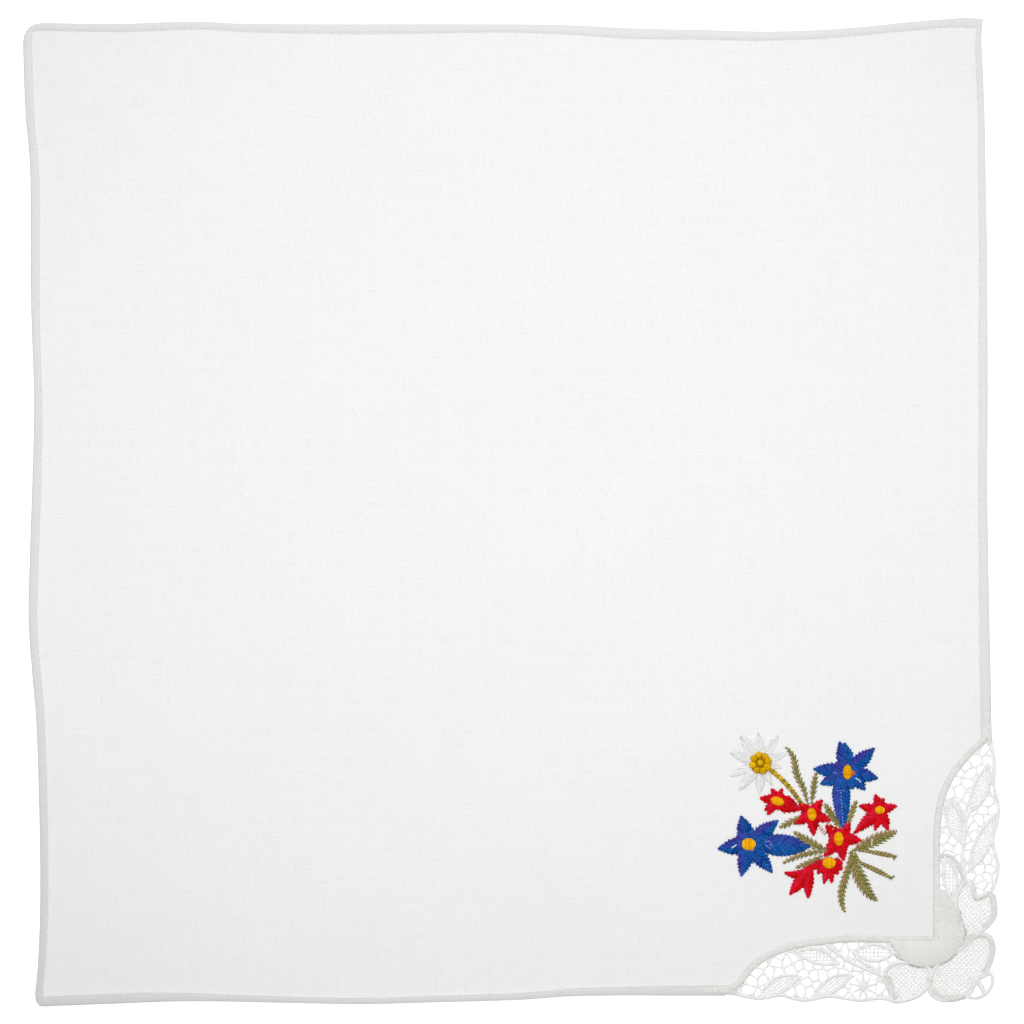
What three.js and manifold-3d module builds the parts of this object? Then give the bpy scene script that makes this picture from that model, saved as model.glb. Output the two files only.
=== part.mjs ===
// Embroidered handkerchief, laid flat: a batiste square with a narrow hem, a guipure lace
// corner sewn into one notched corner, and a bouquet of alpine flowers worked in thread.
// Millimetres, +Z up. The cloth lies on z = 0 and the origin is the middle of its footprint.
import * as THREE from 'three';
import { mergeVertices } from 'three/addons/utils/BufferGeometryUtils.js';
import Module from 'manifold-3d';

const wasm = await Module();
wasm.setup();

// ---- driving dimensions ---------------------------------------------------------------

const GAP = 0.3;                // clearance between neighbouring pieces

const GROUND = 1.0;             // thickness of the single layer of batiste
const HEM_HEIGHT = 1.6;         // the hem is three layers deep
const HEM_WIDTH = 2.7;
const HEM_ROUND = 0.35;         // softness of the hem's outer edge
const SQUARE_HALF = 141;        // nominal distance from the middle to a side
const SIDE_STEPS = 22;          // samples along one side
const CORNER_STEPS = 4;         // samples round one corner

const LACE_LOW = 1.0;           // thickness of the net fillings and the thin bars
const LACE_HIGH = 1.5;          // height of cords, dense satin leaves and the heading
const BRIDE_WIDTH = 0.6;
const CORD_WIDTH = 0.8;
const HEADING_WIDTH = 2.4;
const SPAN_STEPS = 2;           // samples between two rows of a smooth curve
const RING_FACETS = 12;
const LEAF_SECTIONS = 6;        // cross-sections along a lace leaf

const THREAD_BASE = GROUND + GAP;   // embroidery lies on the batiste
const CLEAR_ABOVE = 5;              // how far room cut for a piece reaches above and below it
const PAD_CROWN = 0.7;              // height of a satin-stitched pad along its middle
const PAD_TIP = 0.3;                // and at its ends
const EYE_SHOULDER = 0.4;
const EYE_CROWN = 1.0;              // padded flower centres stand highest
const TIP_HALF_WIDTH = 0.15;        // blunt end of a pointed leaf or petal
const EYE_FACETS = 10;
const EYE_SLOPE = { radius: 0.65, height: 0.9 };   // where a dome turns over, as shares
const LOBE_SECTIONS = 5;            // cross-sections along an embroidered pad
const FACET_SAG = 0.1;              // how far a flat facet may stray from the true curve

// The inner corner of the lace and the point where the bouquet's stems gather, measured
// from the middle of the square.
const LACE_ORIGIN = new THREE.Vector2(122.7, -123.5);
const BOUQUET_ORIGIN = new THREE.Vector2(96.9, -97.4);

// ---- the square: how far each hemmed side stands out, as it wanders --------------------

// `at` runs along the side (x for bottom and top, y for right and left), `out` is the
// distance from the middle of the square. The ends of a table set how round its corner is.
const SIDES = {
  bottom: [
    { at: -135.6, out: 143.3 }, { at: -118, out: 142.6 }, { at: -94, out: 141.8 },
    { at: -67, out: 142.2 }, { at: -44, out: 142.6 }, { at: -22, out: 142.1 },
    { at: 2, out: 141.4 }, { at: 22, out: 140.2 }, { at: 62, out: 140.2 },
    { at: 90, out: 140.3 }, { at: 112, out: 140.4 },
  ],
  right: [
    { at: -104, out: 139.5 }, { at: -62, out: 139.3 }, { at: -32, out: 138.7 },
    { at: 4, out: 138.1 }, { at: 30, out: 138.2 }, { at: 66, out: 138.1 },
    { at: 92, out: 137.7 }, { at: 118, out: 137.2 }, { at: 136, out: 136.4 },
    { at: 142.6, out: 136.8 },
  ],
  top: [
    { at: -135.3, out: 141.8 }, { at: -114, out: 141.5 }, { at: -93, out: 142.2 },
    { at: -74, out: 141.5 }, { at: -30, out: 141.4 }, { at: 10, out: 141.3 },
    { at: 36, out: 140.2 }, { at: 58, out: 139.7 }, { at: 76, out: 139.3 },
    { at: 95, out: 140.1 }, { at: 114, out: 141.9 }, { at: 130, out: 143.2 },
    { at: 136.2, out: 143.0 },
  ],
  left: [
    { at: -139.4, out: 137.9 }, { at: -128, out: 136.9 }, { at: -108, out: 136.4 },
    { at: -82, out: 136.8 }, { at: -60, out: 137.6 }, { at: -46, out: 138.8 },
    { at: -31, out: 139.8 }, { at: -12, out: 139.4 }, { at: 12, out: 138.6 },
    { at: 34, out: 138.2 }, { at: 62, out: 139.1 }, { at: 98, out: 139.3 },
    { at: 116, out: 140.7 }, { at: 135.7, out: 141.4 },
  ],
};

// ---- the lace corner, measured from its inner corner -----------------------------------

// Dense satin heading that joins the lace to the batiste: the upright arm from the right
// hem down, and the level arm from the inner corner to the bottom hem.
const HEADING_UPRIGHT = [
  { u: 14.9, v: 58.5 }, { u: 14.3, v: 57.4 }, { u: 11.6, v: 55.0 }, { u: 8.0, v: 51.0 },
  { u: 4.8, v: 46.6 }, { u: 2.5, v: 41.4 }, { u: 1.3, v: 36.0 }, { u: 0.8, v: 29.0 },
  { u: 0.7, v: 14.0 },
];
const HEADING_LEVEL = [
  { u: -14.0, v: -0.4 }, { u: -25.0, v: -0.3 }, { u: -34.0, v: -1.2 },
  { u: -41.0, v: -2.4 }, { u: -47.5, v: -4.8 }, { u: -52.2, v: -7.8 },
  { u: -55.0, v: -11.0 }, { u: -57.2, v: -13.7 }, { u: -59.4, v: -14.9 },
];
const HEADING_TOP = { u: 14.9, v: 59.0 };
const HEADING_CORNER = { u: 0.7, v: -0.5 };
const HEADING_END = { u: -60.0, v: -14.9 };

// Leaves: from root to tip, widest across `w`, bent sideways by `bend` at the middle.
// Net leaves have a corded outline, satin leaves are filled with dense stitching.
const LACE_LEAVES = [
  { kind: 'net', u: 9.9, v: 36.2, tu: 15.6, tv: 50.5, w: 5.0, bend: -0.7 },
  { kind: 'net', u: 8.0, v: 27.6, tu: 4.6, tv: 40.3, w: 5.0, bend: 0.5 },
  { kind: 'net', u: 10.0, v: 19.6, tu: 17.3, tv: 35.8, w: 5.0, bend: -0.5 },
  { kind: 'net', u: 5.2, v: 10.6, tu: 3.0, tv: 23.8, w: 4.4, bend: -0.6 },
  { kind: 'net', u: -27.6, v: -7.4, tu: -40.0, tv: -3.9, w: 4.6, bend: -0.3 },
  { kind: 'net', u: -50.5, v: -16.8, tu: -38.8, tv: -11.0, w: 5.0, bend: 0.4 },
  { kind: 'net', u: -35.2, v: -17.0, tu: -23.8, tv: -10.6, w: 4.6, bend: 0.3 },
  { kind: 'net', u: -11.4, v: -4.2, tu: -23.6, tv: -3.9, w: 5.4, bend: 0.2 },
  { kind: 'satin', u: 4.6, v: -3.6, tu: 1.6, tv: 14.4, w: 6.2, bend: -1.4 },
  { kind: 'satin', u: 5.2, v: -4.2, tu: -12.6, tv: -2.4, w: 5.6, bend: 1.2 },
];

// Big corner petals filled with diagonal net, each a closed corded outline.
const PANELS = [
  [
    { u: 9.6, v: 16.8 }, { u: 12.0, v: 12.2 }, { u: 15.8, v: 12.8 }, { u: 17.7, v: 9.4 },
    { u: 17.0, v: 5.4 }, { u: 13.4, v: 1.9 }, { u: 8.4, v: -1.4 }, { u: 7.0, v: 4.5 },
    { u: 6.4, v: 11.5 },
  ],
  [
    { u: 8.2, v: -2.6 }, { u: 12.2, v: 0.6 }, { u: 15.9, v: 0.5 }, { u: 17.2, v: -2.8 },
    { u: 16.3, v: -7.2 }, { u: 14.2, v: -10.4 }, { u: 10.9, v: -11.4 },
    { u: 10.2, v: -14.4 }, { u: 7.4, v: -17.0 }, { u: 3.0, v: -18.0 },
    { u: -0.7, v: -16.4 }, { u: -1.5, v: -12.6 }, { u: 0.6, v: -8.2 }, { u: 4.2, v: -5.6 },
  ],
  [
    { u: -14.9, v: -11.0 }, { u: -11.8, v: -7.6 }, { u: -6.5, v: -7.2 },
    { u: -1.6, v: -8.8 }, { u: -1.5, v: -12.8 }, { u: -4.0, v: -16.2 },
    { u: -8.4, v: -18.0 }, { u: -12.2, v: -18.0 }, { u: -12.9, v: -14.2 },
  ],
];

// Two small open loops at the outer point of the corner.
const LOOPS = [
  [
    { u: 11.3, v: -11.6 }, { u: 13.6, v: -10.6 }, { u: 16.2, v: -10.6 },
    { u: 16.7, v: -12.8 }, { u: 15.6, v: -14.4 }, { u: 13.2, v: -13.8 },
  ],
  [
    { u: 11.1, v: -11.8 }, { u: 13.0, v: -13.8 }, { u: 13.5, v: -15.8 },
    { u: 12.0, v: -16.9 }, { u: 10.1, v: -16.0 }, { u: 10.0, v: -13.6 },
  ],
];

// Scalloped outer cord of the two arms, and the stems inside them.
const CORDS = [
  [
    { u: 15.7, v: 58.2 }, { u: 16.7, v: 55.0 }, { u: 17.4, v: 50.6 }, { u: 17.2, v: 45.0 },
    { u: 17.9, v: 41.3 }, { u: 18.6, v: 37.5 }, { u: 18.1, v: 33.2 }, { u: 16.9, v: 28.4 },
    { u: 17.8, v: 24.2 }, { u: 18.5, v: 20.6 }, { u: 17.8, v: 16.6 }, { u: 16.0, v: 12.8 },
  ],
  [
    { u: -59.0, v: -15.8 }, { u: -55.0, v: -16.8 }, { u: -50.4, v: -17.4 },
    { u: -44.6, v: -16.5 }, { u: -41.0, v: -17.4 }, { u: -37.4, v: -18.0 },
    { u: -33.0, v: -17.2 }, { u: -29.2, v: -16.8 }, { u: -25.5, v: -17.5 },
    { u: -21.0, v: -18.0 }, { u: -16.0, v: -17.4 }, { u: -12.2, v: -18.0 },
  ],
  [{ u: 10.4, v: 37.0 }, { u: 9.4, v: 34.8 }, { u: 8.9, v: 31.4 }, { u: 8.6, v: 27.6 }],
  [{ u: 5.6, v: 40.2 }, { u: 7.6, v: 37.6 }, { u: 9.4, v: 34.8 }],
  [{ u: 8.6, v: 27.6 }, { u: 8.1, v: 22.0 }, { u: 9.4, v: 16.4 }],
  [{ u: -31.4, v: -1.8 }, { u: -26.0, v: -6.0 }, { u: -21.2, v: -8.4 }, { u: -14.9, v: -11.0 }],
  [{ u: -23.6, v: -3.9 }, { u: -21.6, v: -6.4 }, { u: -17.6, v: -8.8 }, { u: -14.9, v: -11.0 }],
];

// Brides: straight bars across the open ground, [u, v] to [u, v].
const BRIDES = [
  [11.4, 54.6, 17.0, 53.2], [10.2, 53.0, 15.4, 50.3], [6.8, 49.4, 12.6, 47.0],
  [4.6, 45.4, 10.6, 43.4], [7.4, 44.2, 7.8, 37.4], [10.4, 41.0, 7.6, 40.8],
  [13.9, 41.4, 18.2, 39.6], [12.2, 38.8, 16.6, 35.2], [9.2, 33.2, 14.2, 31.8],
  [8.8, 29.2, 12.6, 29.0], [8.3, 25.0, 11.4, 24.4], [1.6, 30.2, 5.4, 31.0],
  [1.6, 26.6, 7.6, 28.4], [5.4, 20.4, 8.4, 21.0], [5.6, 17.2, 9.0, 18.2],
  [13.8, 26.4, 17.2, 27.4], [11.8, 22.6, 18.2, 23.0], [14.3, 22.6, 13.7, 18.5],
  [10.2, 19.6, 18.0, 18.0], [13.6, 18.6, 11.0, 13.6],
  [-56.4, -12.8, -55.2, -16.8], [-54.4, -10.2, -50.0, -15.4], [-51.6, -7.4, -48.6, -12.9],
  [-47.0, -4.6, -45.2, -12.0], [-46.3, -8.6, -37.6, -5.0], [-43.6, -3.2, -41.2, -11.0],
  [-36.6, -6.4, -38.6, -11.0], [-33.6, -6.6, -35.4, -12.4], [-38.9, -11.0, -33.0, -13.6],
  [-39.6, -12.4, -38.0, -17.8], [-42.6, -14.0, -41.4, -17.2], [-30.4, -6.6, -30.6, -12.6],
  [-30.5, -9.6, -22.4, -7.8], [-28.6, -0.8, -28.4, -4.0], [-25.2, -0.6, -25.4, -6.2],
  [-22.2, -8.0, -22.6, -11.0], [-18.4, -6.0, -18.8, -9.4],
];

// Dense knot where the two satin leaves meet.
const CORNER_KNOT = { u: 4.4, v: -2.8, radius: 3.6 };

// Spider flower: a satin disc with bars that radiate to a thin ring.
const SPIDER = { u: -20.6, v: -14.0, disc: 1.3, ring: 4.3, bars: 9, turn: 10 };

// ---- the bouquet, measured from the gathering of its stems ------------------------------

// Flowers: the padded eye (half axes rx and ry, turned by `turn` degrees), and petals that
// leave the eye's middle at `deg` degrees, `len` long and `w` wide.
const FLOWERS = [
  {
    name: 'rose_middle', thread: 'red', eye: { x: -1.7, y: 2.9, rx: 1.35, ry: 1.9, turn: 0 },
    heart: 2.9,
    petals: [
      { deg: 137, len: 5.2, w: 3.6 }, { deg: 56, len: 5.2, w: 3.6 }, { deg: -6, len: 6.1, w: 3.6 },
      { deg: -79, len: 6.3, w: 3.4 }, { deg: -129, len: 6.5, w: 3.6 },
    ],
  },
  {
    name: 'rose_upper', thread: 'red', eye: { x: -9.7, y: 9.9, rx: 1.35, ry: 1.75, turn: 10 },
    heart: 2.7,
    petals: [
      { deg: 141, len: 4.6, w: 3.4 }, { deg: 54, len: 4.8, w: 3.2 }, { deg: -20, len: 5.5, w: 3.2 },
      { deg: -85, len: 6.2, w: 3.2 }, { deg: -150, len: 5.6, w: 3.2 },
    ],
  },
  {
    name: 'rose_left', thread: 'red', eye: { x: -19.8, y: 13.7, rx: 1.85, ry: 1.25, turn: -14 },
    heart: 2.3,
    petals: [
      { deg: 171, len: 4.9, w: 2.6 }, { deg: 112, len: 3.5, w: 2.0 }, { deg: 66, len: 3.5, w: 2.0 },
      { deg: -142, len: 4.3, w: 2.4 }, { deg: -124, len: 4.6, w: 2.4 },
      { deg: -17, len: 7.0, w: 4.6 },
    ],
  },
  {
    name: 'rose_right', thread: 'red', eye: { x: 10.0, y: 11.0, rx: 1.35, ry: 1.2, turn: 0 },
    heart: 2.4,
    petals: [
      { deg: 105, len: 4.5, w: 2.6 }, { deg: 72, len: 3.4, w: 2.2 }, { deg: 14, len: 5.0, w: 2.8 },
      { deg: -67, len: 6.0, w: 3.4 }, { deg: 169, len: 6.0, w: 2.8 }, { deg: -138, len: 8.6, w: 3.6 },
    ],
  },
  {
    name: 'rose_lower', thread: 'red', eye: { x: -4.7, y: -4.3, rx: 1.85, ry: 1.75, turn: 0 },
    heart: 2.8,
    petals: [
      { deg: -20, len: 4.4, w: 3.4 }, { deg: -56, len: 4.9, w: 3.2 }, { deg: -82, len: 5.7, w: 2.6 },
      { deg: -103, len: 6.0, w: 2.8 }, { deg: -134, len: 4.5, w: 2.8 }, { deg: -172, len: 4.2, w: 2.4 },
    ],
  },
  {
    name: 'gentian_upper', thread: 'blue', eye: { x: 1.0, y: 22.0, rx: 1.6, ry: 2.05, turn: 0 },
    heart: 3.4,
    petals: [
      { deg: 106, len: 9.0, w: 5.4 }, { deg: 43, len: 9.7, w: 4.8 }, { deg: -10, len: 8.2, w: 4.4 },
      { deg: -48, len: 6.6, w: 4.4 }, { deg: -156, len: 8.7, w: 4.6 }, { deg: 173, len: 10.0, w: 4.6 },
    ],
  },
  {
    name: 'gentian_left', thread: 'blue', eye: { x: -28.0, y: 1.1, rx: 2.0, ry: 1.9, turn: 0 },
    heart: 3.4,
    petals: [
      { deg: 105, len: 8.1, w: 4.8 }, { deg: 39, len: 10.8, w: 4.8 }, { deg: -50, len: 10.6, w: 4.6 },
      { deg: -102, len: 9.4, w: 4.6 }, { deg: -170, len: 8.7, w: 5.0 },
    ],
  },
  {
    name: 'edelweiss', thread: 'silver', eye: { x: -24.6, y: 24.9, rx: 3.2, ry: 3.2, turn: 0 },
    heart: 4.3,
    petals: [
      { deg: 127, len: 9.4, w: 3.4 }, { deg: 94, len: 8.3, w: 2.5 }, { deg: 56, len: 9.4, w: 2.7 },
      { deg: 18, len: 7.7, w: 2.2 }, { deg: -15, len: 6.2, w: 2.2 }, { deg: -63, len: 7.4, w: 2.2 },
      { deg: -91, len: 9.4, w: 2.7 }, { deg: -127, len: 10.4, w: 2.9 },
      { deg: -155, len: 9.5, w: 2.6 }, { deg: 163, len: 8.9, w: 2.8 },
    ],
  },
];

// Single pieces of satin or fishbone stitch, from root to tip, widest at `belly` of their
// length, or with straight sides that narrow from `w` to `taper`. In each thread the rows run
// from the pieces worked last, which lie uppermost, to those worked first.
const STRAPS = {
  blue: [
    { name: 'gentian_upper_tube', x: -1.4, y: 18.4, tx: -0.7, ty: 6.0, w: 5.2, bend: 0, taper: 1.8 },
    { name: 'gentian_left_calyx', x: -26.0, y: 1.2, tx: -10.2, ty: 0.8, w: 6.4, bend: 0, belly: 0.46 },
  ],
  gold: [
    { name: 'edelweiss_stem', x: -22.0, y: 22.9, tx: -12.6, ty: 12.6, w: 1.4, bend: 0.7, belly: 0.5 },
  ],
  olive: [
    { name: 'leaf_tall', x: -10.8, y: 12.6, tx: -17.1, ty: 29.0, w: 1.9, bend: -0.4, belly: 0.55 },
    { name: 'leaf_short', x: -9.8, y: 12.6, tx: -8.4, ty: 21.8, w: 1.9, bend: 0.1, belly: 0.6 },
    { name: 'leaf_under_left_rose', x: -13.4, y: 9.1, tx: -19.0, ty: 6.0, w: 2.0, bend: 0.2, belly: 0.55 },
    { name: 'leaf_left_of_tube', x: -0.9, y: 5.6, tx: -5.9, ty: 12.9, w: 2.4, bend: 0.3, belly: 0.55 },
    { name: 'leaf_right_of_tube', x: 0.4, y: 5.8, tx: 3.3, ty: 13.7, w: 2.0, bend: 0.2, belly: 0.6 },
    { name: 'leaf_over_calyx', x: -5.4, y: -0.6, tx: -14.9, ty: 4.7, w: 2.6, bend: 0.4, belly: 0.5 },
    { name: 'leaf_under_calyx', x: -5.4, y: -1.0, tx: -18.0, ty: -4.4, w: 1.8, bend: -0.9, belly: 0.5 },
    { name: 'leaf_low_left', x: -6.6, y: -2.2, tx: -14.3, ty: -5.7, w: 1.6, bend: 0.2, belly: 0.5 },
    { name: 'leaf_big_right', x: 2.2, y: -0.6, tx: 14.9, ty: 4.8, w: 3.4, bend: 0.9, belly: 0.55 },
    { name: 'leaf_thin_right', x: 4.0, y: -0.6, tx: 15.0, ty: -2.7, w: 1.4, bend: 0.2, belly: 0.6 },
    { name: 'leaf_thin_low', x: 3.0, y: -3.0, tx: 14.4, ty: -9.2, w: 1.3, bend: 0.2, belly: 0.6 },
    { name: 'leaf_big_low', x: 1.4, y: -1.4, tx: 9.4, ty: -15.4, w: 3.5, bend: 0.4, belly: 0.55 },
    { name: 'leaf_down', x: 1.2, y: -2.6, tx: -0.3, ty: -18.6, w: 2.5, bend: -1.0, belly: 0.6 },
  ],
};

// The half-closed rose hangs from a stalk and opens in three points.
const BELL = {
  name: 'rose_bell', thread: 'red',
  lobes: [
    { x: -8.9, y: -4.6, tx: -13.0, ty: -9.0, w: 3.0, bend: 0 },
    { x: -9.3, y: -5.6, tx: -17.5, ty: -7.3, w: 3.0, bend: 0.3 },
    { x: -9.6, y: -5.4, tx: -16.0, ty: -13.4, w: 4.0, bend: 0 },
    { x: -9.2, y: -5.4, tx: -10.6, ty: -14.4, w: 3.4, bend: -0.3 },
  ],
};

const THREADS = {
  red: { color: 0xcc1022, roughness: 0.5 },
  blue: { color: 0x1b46a4, roughness: 0.5 },
  silver: { color: 0xe2e5e4, roughness: 0.5 },
  gold: { color: 0xb49a34, roughness: 0.55 },
  olive: { color: 0x7c7b3a, roughness: 0.6 },
  yellow: { color: 0xf2b216, roughness: 0.5 },
  mustard: { color: 0xd6a80e, roughness: 0.5 },
};
const BATISTE = { color: 0xf4f5f3, roughness: 0.9 };
const GUIPURE = { color: 0xf0f1ee, roughness: 0.85 };

// ---- solids ----------------------------------------------------------------------------

// A closed geometry as a manifold solid, ready to be joined or cut.
function toSolid(geometry) {
  const bare = geometry.clone();
  bare.deleteAttribute('normal');
  bare.deleteAttribute('uv');
  const merged = mergeVertices(bare, 1e-4);
  const mesh = new wasm.Mesh({
    numProp: 3,
    vertProperties: new Float32Array(merged.attributes.position.array),
    triVerts: new Uint32Array(merged.index.array),
  });
  return new wasm.Manifold(mesh);
}

// The body of a joined or cut solid, without the dust that a near miss can leave.
function mainBody(solid) {
  const bodies = solid.decompose();
  return bodies.reduce((largest, body) => (body.volume() > largest.volume() ? body : largest));
}

function toGeometry(solid) {
  const mesh = mainBody(solid.simplify(FACET_SAG)).getMesh();
  const geometry = new THREE.BufferGeometry();
  geometry.setAttribute('position', new THREE.BufferAttribute(mesh.vertProperties, 3));
  geometry.setIndex(new THREE.BufferAttribute(mesh.triVerts, 1));
  geometry.computeVertexNormals();
  return geometry;
}

function joinAll(solids) {
  return solids.reduce((whole, next) => whole.add(next));
}

// Upright solid on a flat outline with optional holes.
function prism(outline, bottom, top, holes = []) {
  const ordered = THREE.ShapeUtils.isClockWise(outline) ? [...outline].reverse() : outline;
  const shape = new THREE.Shape(ordered);
  for (const hole of holes) {
    shape.holes.push(new THREE.Path(hole));
  }
  const geometry = new THREE.ExtrudeGeometry(shape, { depth: top - bottom, bevelEnabled: false });
  geometry.translate(0, 0, bottom);
  return toSolid(geometry);
}

// Skin over rings of equal length, the first closed by a floor and the last by a lid.
function loft(rings) {
  const count = rings[0].length;
  const positions = rings.flat().flatMap((point) => [point.x, point.y, point.z]);
  const faces = [];
  for (let ring = 0; ring + 1 < rings.length; ring += 1) {
    for (let step = 0; step < count; step += 1) {
      const here = ring * count + step;
      const next = ring * count + (step + 1) % count;
      faces.push(here, next, next + count);
      faces.push(here, next + count, here + count);
    }
  }
  return { positions, faces, count };
}

function closedGeometry(positions, faces) {
  const geometry = new THREE.BufferGeometry();
  geometry.setAttribute('position', new THREE.Float32BufferAttribute(positions, 3));
  geometry.setIndex(faces);
  return geometry;
}

// ---- curves ----------------------------------------------------------------------------

// Points at even parameters of a smooth curve through the table's rows.
function smooth(points) {
  return new THREE.SplineCurve(points).getPoints((points.length - 1) * SPAN_STEPS);
}

function smoothLoop(points) {
  const ring = points.map((point) => new THREE.Vector3(point.x, point.y, 0));
  const curve = new THREE.CatmullRomCurve3(ring, true, 'catmullrom', 0.5);
  const samples = curve.getPoints(points.length * SPAN_STEPS).slice(0, -1);
  return samples.map((point) => new THREE.Vector2(point.x, point.y));
}

const MITRE_LIMIT = 0.5;      // a sharper corner than this is blunted

// Path moved sideways by `offset`, to the left of its direction, mitred at each point.
function offsetPath(points, offset, closed = false) {
  const last = points.length - 1;
  return points.map((point, index) => {
    const before = points[closed ? (index + last) % (last + 1) : Math.max(index - 1, 0)];
    const after = points[closed ? (index + 1) % (last + 1) : Math.min(index + 1, last)];
    const inward = index > 0 || closed ? point.clone().sub(before).normalize() : null;
    const outward = index < last || closed ? after.clone().sub(point).normalize() : null;
    const first = inward ?? outward;
    const second = outward ?? inward;
    const normal = new THREE.Vector2(-first.y - second.y, first.x + second.x).normalize();
    const mitre = 1 / Math.max(MITRE_LIMIT, normal.dot(new THREE.Vector2(-first.y, first.x)));
    return point.clone().addScaledVector(normal, offset * mitre);
  });
}

// Flat band of even width along a path, standing on the surface.
function band(points, width, height) {
  const left = offsetPath(points, width / 2);
  const right = offsetPath(points, -width / 2);
  return prism([...right, ...left.reverse()], 0, height);
}

// ---- the batiste square ------------------------------------------------------------------

// One side, sampled, with the whole outline drawn in by `inset`.
function sidePoints(rows, inset) {
  const table = rows.map((row) => new THREE.Vector2(row.at, row.out));
  const samples = new THREE.SplineCurve(table).getPoints(SIDE_STEPS);
  const shrink = 1 - inset / SQUARE_HALF;
  return samples.map((point) => ({ at: point.x * shrink, out: point.y - inset }));
}

// Outline of the square, counterclockwise from the bottom left corner.
function squareOutline(inset) {
  const place = {
    bottom: (p) => new THREE.Vector2(p.at, -p.out),
    right: (p) => new THREE.Vector2(p.out, p.at),
    top: (p) => new THREE.Vector2(p.at, p.out),
    left: (p) => new THREE.Vector2(-p.out, p.at),
  };
  const runs = [
    sidePoints(SIDES.bottom, inset).map(place.bottom),
    sidePoints(SIDES.right, inset).map(place.right),
    sidePoints(SIDES.top, inset).map(place.top).reverse(),
    sidePoints(SIDES.left, inset).map(place.left).reverse(),
  ];
  const outline = [];
  runs.forEach((run, index) => {
    const nextRun = runs[(index + 1) % runs.length];
    const from = run[run.length - 1];
    const to = nextRun[0];
    const level = index % 2 === 0;
    const knee = level ? new THREE.Vector2(to.x, from.y) : new THREE.Vector2(from.x, to.y);
    const corner = new THREE.QuadraticBezierCurve(from, knee, to).getPoints(CORNER_STEPS);
    outline.push(...run, ...corner.slice(1, -1));
  });
  return outline;
}

// Rings of the hem from the underside, round its outer edge and down to the ground.
const HEM_PROFILE = [
  { inset: HEM_ROUND, z: 0 },
  { inset: 0, z: HEM_ROUND },
  { inset: 0, z: HEM_HEIGHT - HEM_ROUND },
  { inset: HEM_ROUND, z: HEM_HEIGHT },
  { inset: HEM_WIDTH - HEM_ROUND, z: HEM_HEIGHT },
  { inset: HEM_WIDTH, z: GROUND },
];

function squareSolid() {
  const outlines = HEM_PROFILE.map((row) => squareOutline(row.inset));
  const rings = outlines.map((outline, index) => {
    return outline.map((point) => new THREE.Vector3(point.x, point.y, HEM_PROFILE[index].z));
  });
  const { positions, faces, count } = loft(rings);
  const floor = THREE.ShapeUtils.triangulateShape(outlines[0], []);
  const lid = THREE.ShapeUtils.triangulateShape(outlines[outlines.length - 1], []);
  const lidStart = (rings.length - 1) * count;
  floor.forEach(([a, b, c]) => faces.push(a, c, b));
  lid.forEach(([a, b, c]) => faces.push(lidStart + a, lidStart + b, lidStart + c));
  return toSolid(closedGeometry(positions, faces));
}

// ---- the lace corner ---------------------------------------------------------------------

function lacePoint(row) {
  return new THREE.Vector2(row.u, row.v).add(LACE_ORIGIN);
}

function headingPath() {
  return [
    lacePoint(HEADING_TOP),
    ...smooth(HEADING_UPRIGHT.map(lacePoint)),
    lacePoint(HEADING_CORNER),
    ...smooth(HEADING_LEVEL.map(lacePoint)),
    lacePoint(HEADING_END),
  ];
}

// Everything on the lace's side of the heading, with the joining gap.
function laceNotch() {
  const reach = 40;               // past the outermost point of the lace
  const path = headingPath();
  const clothSide = offsetPath(path, -(HEADING_WIDTH / 2 + GAP));
  const start = path[0];
  const end = path[path.length - 1];
  const hemTop = start.y + GAP;
  const hemEnd = end.x - GAP;
  clothSide[0] = new THREE.Vector2(clothSide[0].x, hemTop);
  clothSide[clothSide.length - 1] = new THREE.Vector2(hemEnd, clothSide[clothSide.length - 1].y);
  const outline = [
    ...clothSide,
    new THREE.Vector2(hemEnd, end.y - reach),
    new THREE.Vector2(start.x + reach, end.y - reach),
    new THREE.Vector2(start.x + reach, hemTop),
  ];
  return prism(outline, -CLEAR_ABOVE, CLEAR_ABOVE);
}

// Half width of a leaf or petal at `t` along it, as a share of its widest, at `belly`.
function bulge(t, belly) {
  const roundness = 0.8;
  const exponent = Math.log(0.5) / Math.log(belly);
  return Math.sin(Math.PI * t ** exponent) ** roundness;
}

// Middle line and half widths of a leaf from (x, y) to (tx, ty), grown all round by `grow`.
function leafSections(leaf, sections, grow = 0) {
  const root = new THREE.Vector2(leaf.x, leaf.y);
  const tip = new THREE.Vector2(leaf.tx, leaf.ty);
  const along = tip.clone().sub(root);
  const length = along.length();
  along.normalize();
  const side = new THREE.Vector2(-along.y, along.x);
  const rows = [];
  for (let index = 0; index <= sections; index += 1) {
    const t = index / sections;
    const reach = t * (length + 2 * grow) - grow;
    const sag = 4 * t * (1 - t) * leaf.bend;
    const straight = leaf.taper === undefined ? null : 1 - t * (1 - leaf.taper / leaf.w);
    const width = straight ?? bulge(t, leaf.belly ?? 0.5);
    rows.push({
      middle: root.clone().addScaledVector(along, reach).addScaledVector(side, sag),
      side,
      half: Math.max(leaf.w / 2 * width, TIP_HALF_WIDTH) + grow,
      fullness: width,
    });
  }
  return rows;
}

function leafOutline(leaf, sections, grow = 0) {
  const rows = leafSections(leaf, sections, grow);
  const right = rows.map((row) => row.middle.clone().addScaledVector(row.side, -row.half));
  const left = rows.map((row) => row.middle.clone().addScaledVector(row.side, row.half));
  return [...right, ...left.reverse()];
}

// The same leaf drawn in all round, more at its pointed ends.
function drawnIn(leaf, inset) {
  const atEnds = 2.5;
  const root = new THREE.Vector2(leaf.x, leaf.y);
  const tip = new THREE.Vector2(leaf.tx, leaf.ty);
  const step = tip.clone().sub(root).setLength(atEnds * inset);
  root.add(step);
  tip.sub(step);
  return { ...leaf, x: root.x, y: root.y, tx: tip.x, ty: tip.y, w: leaf.w - 2 * inset };
}

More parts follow.
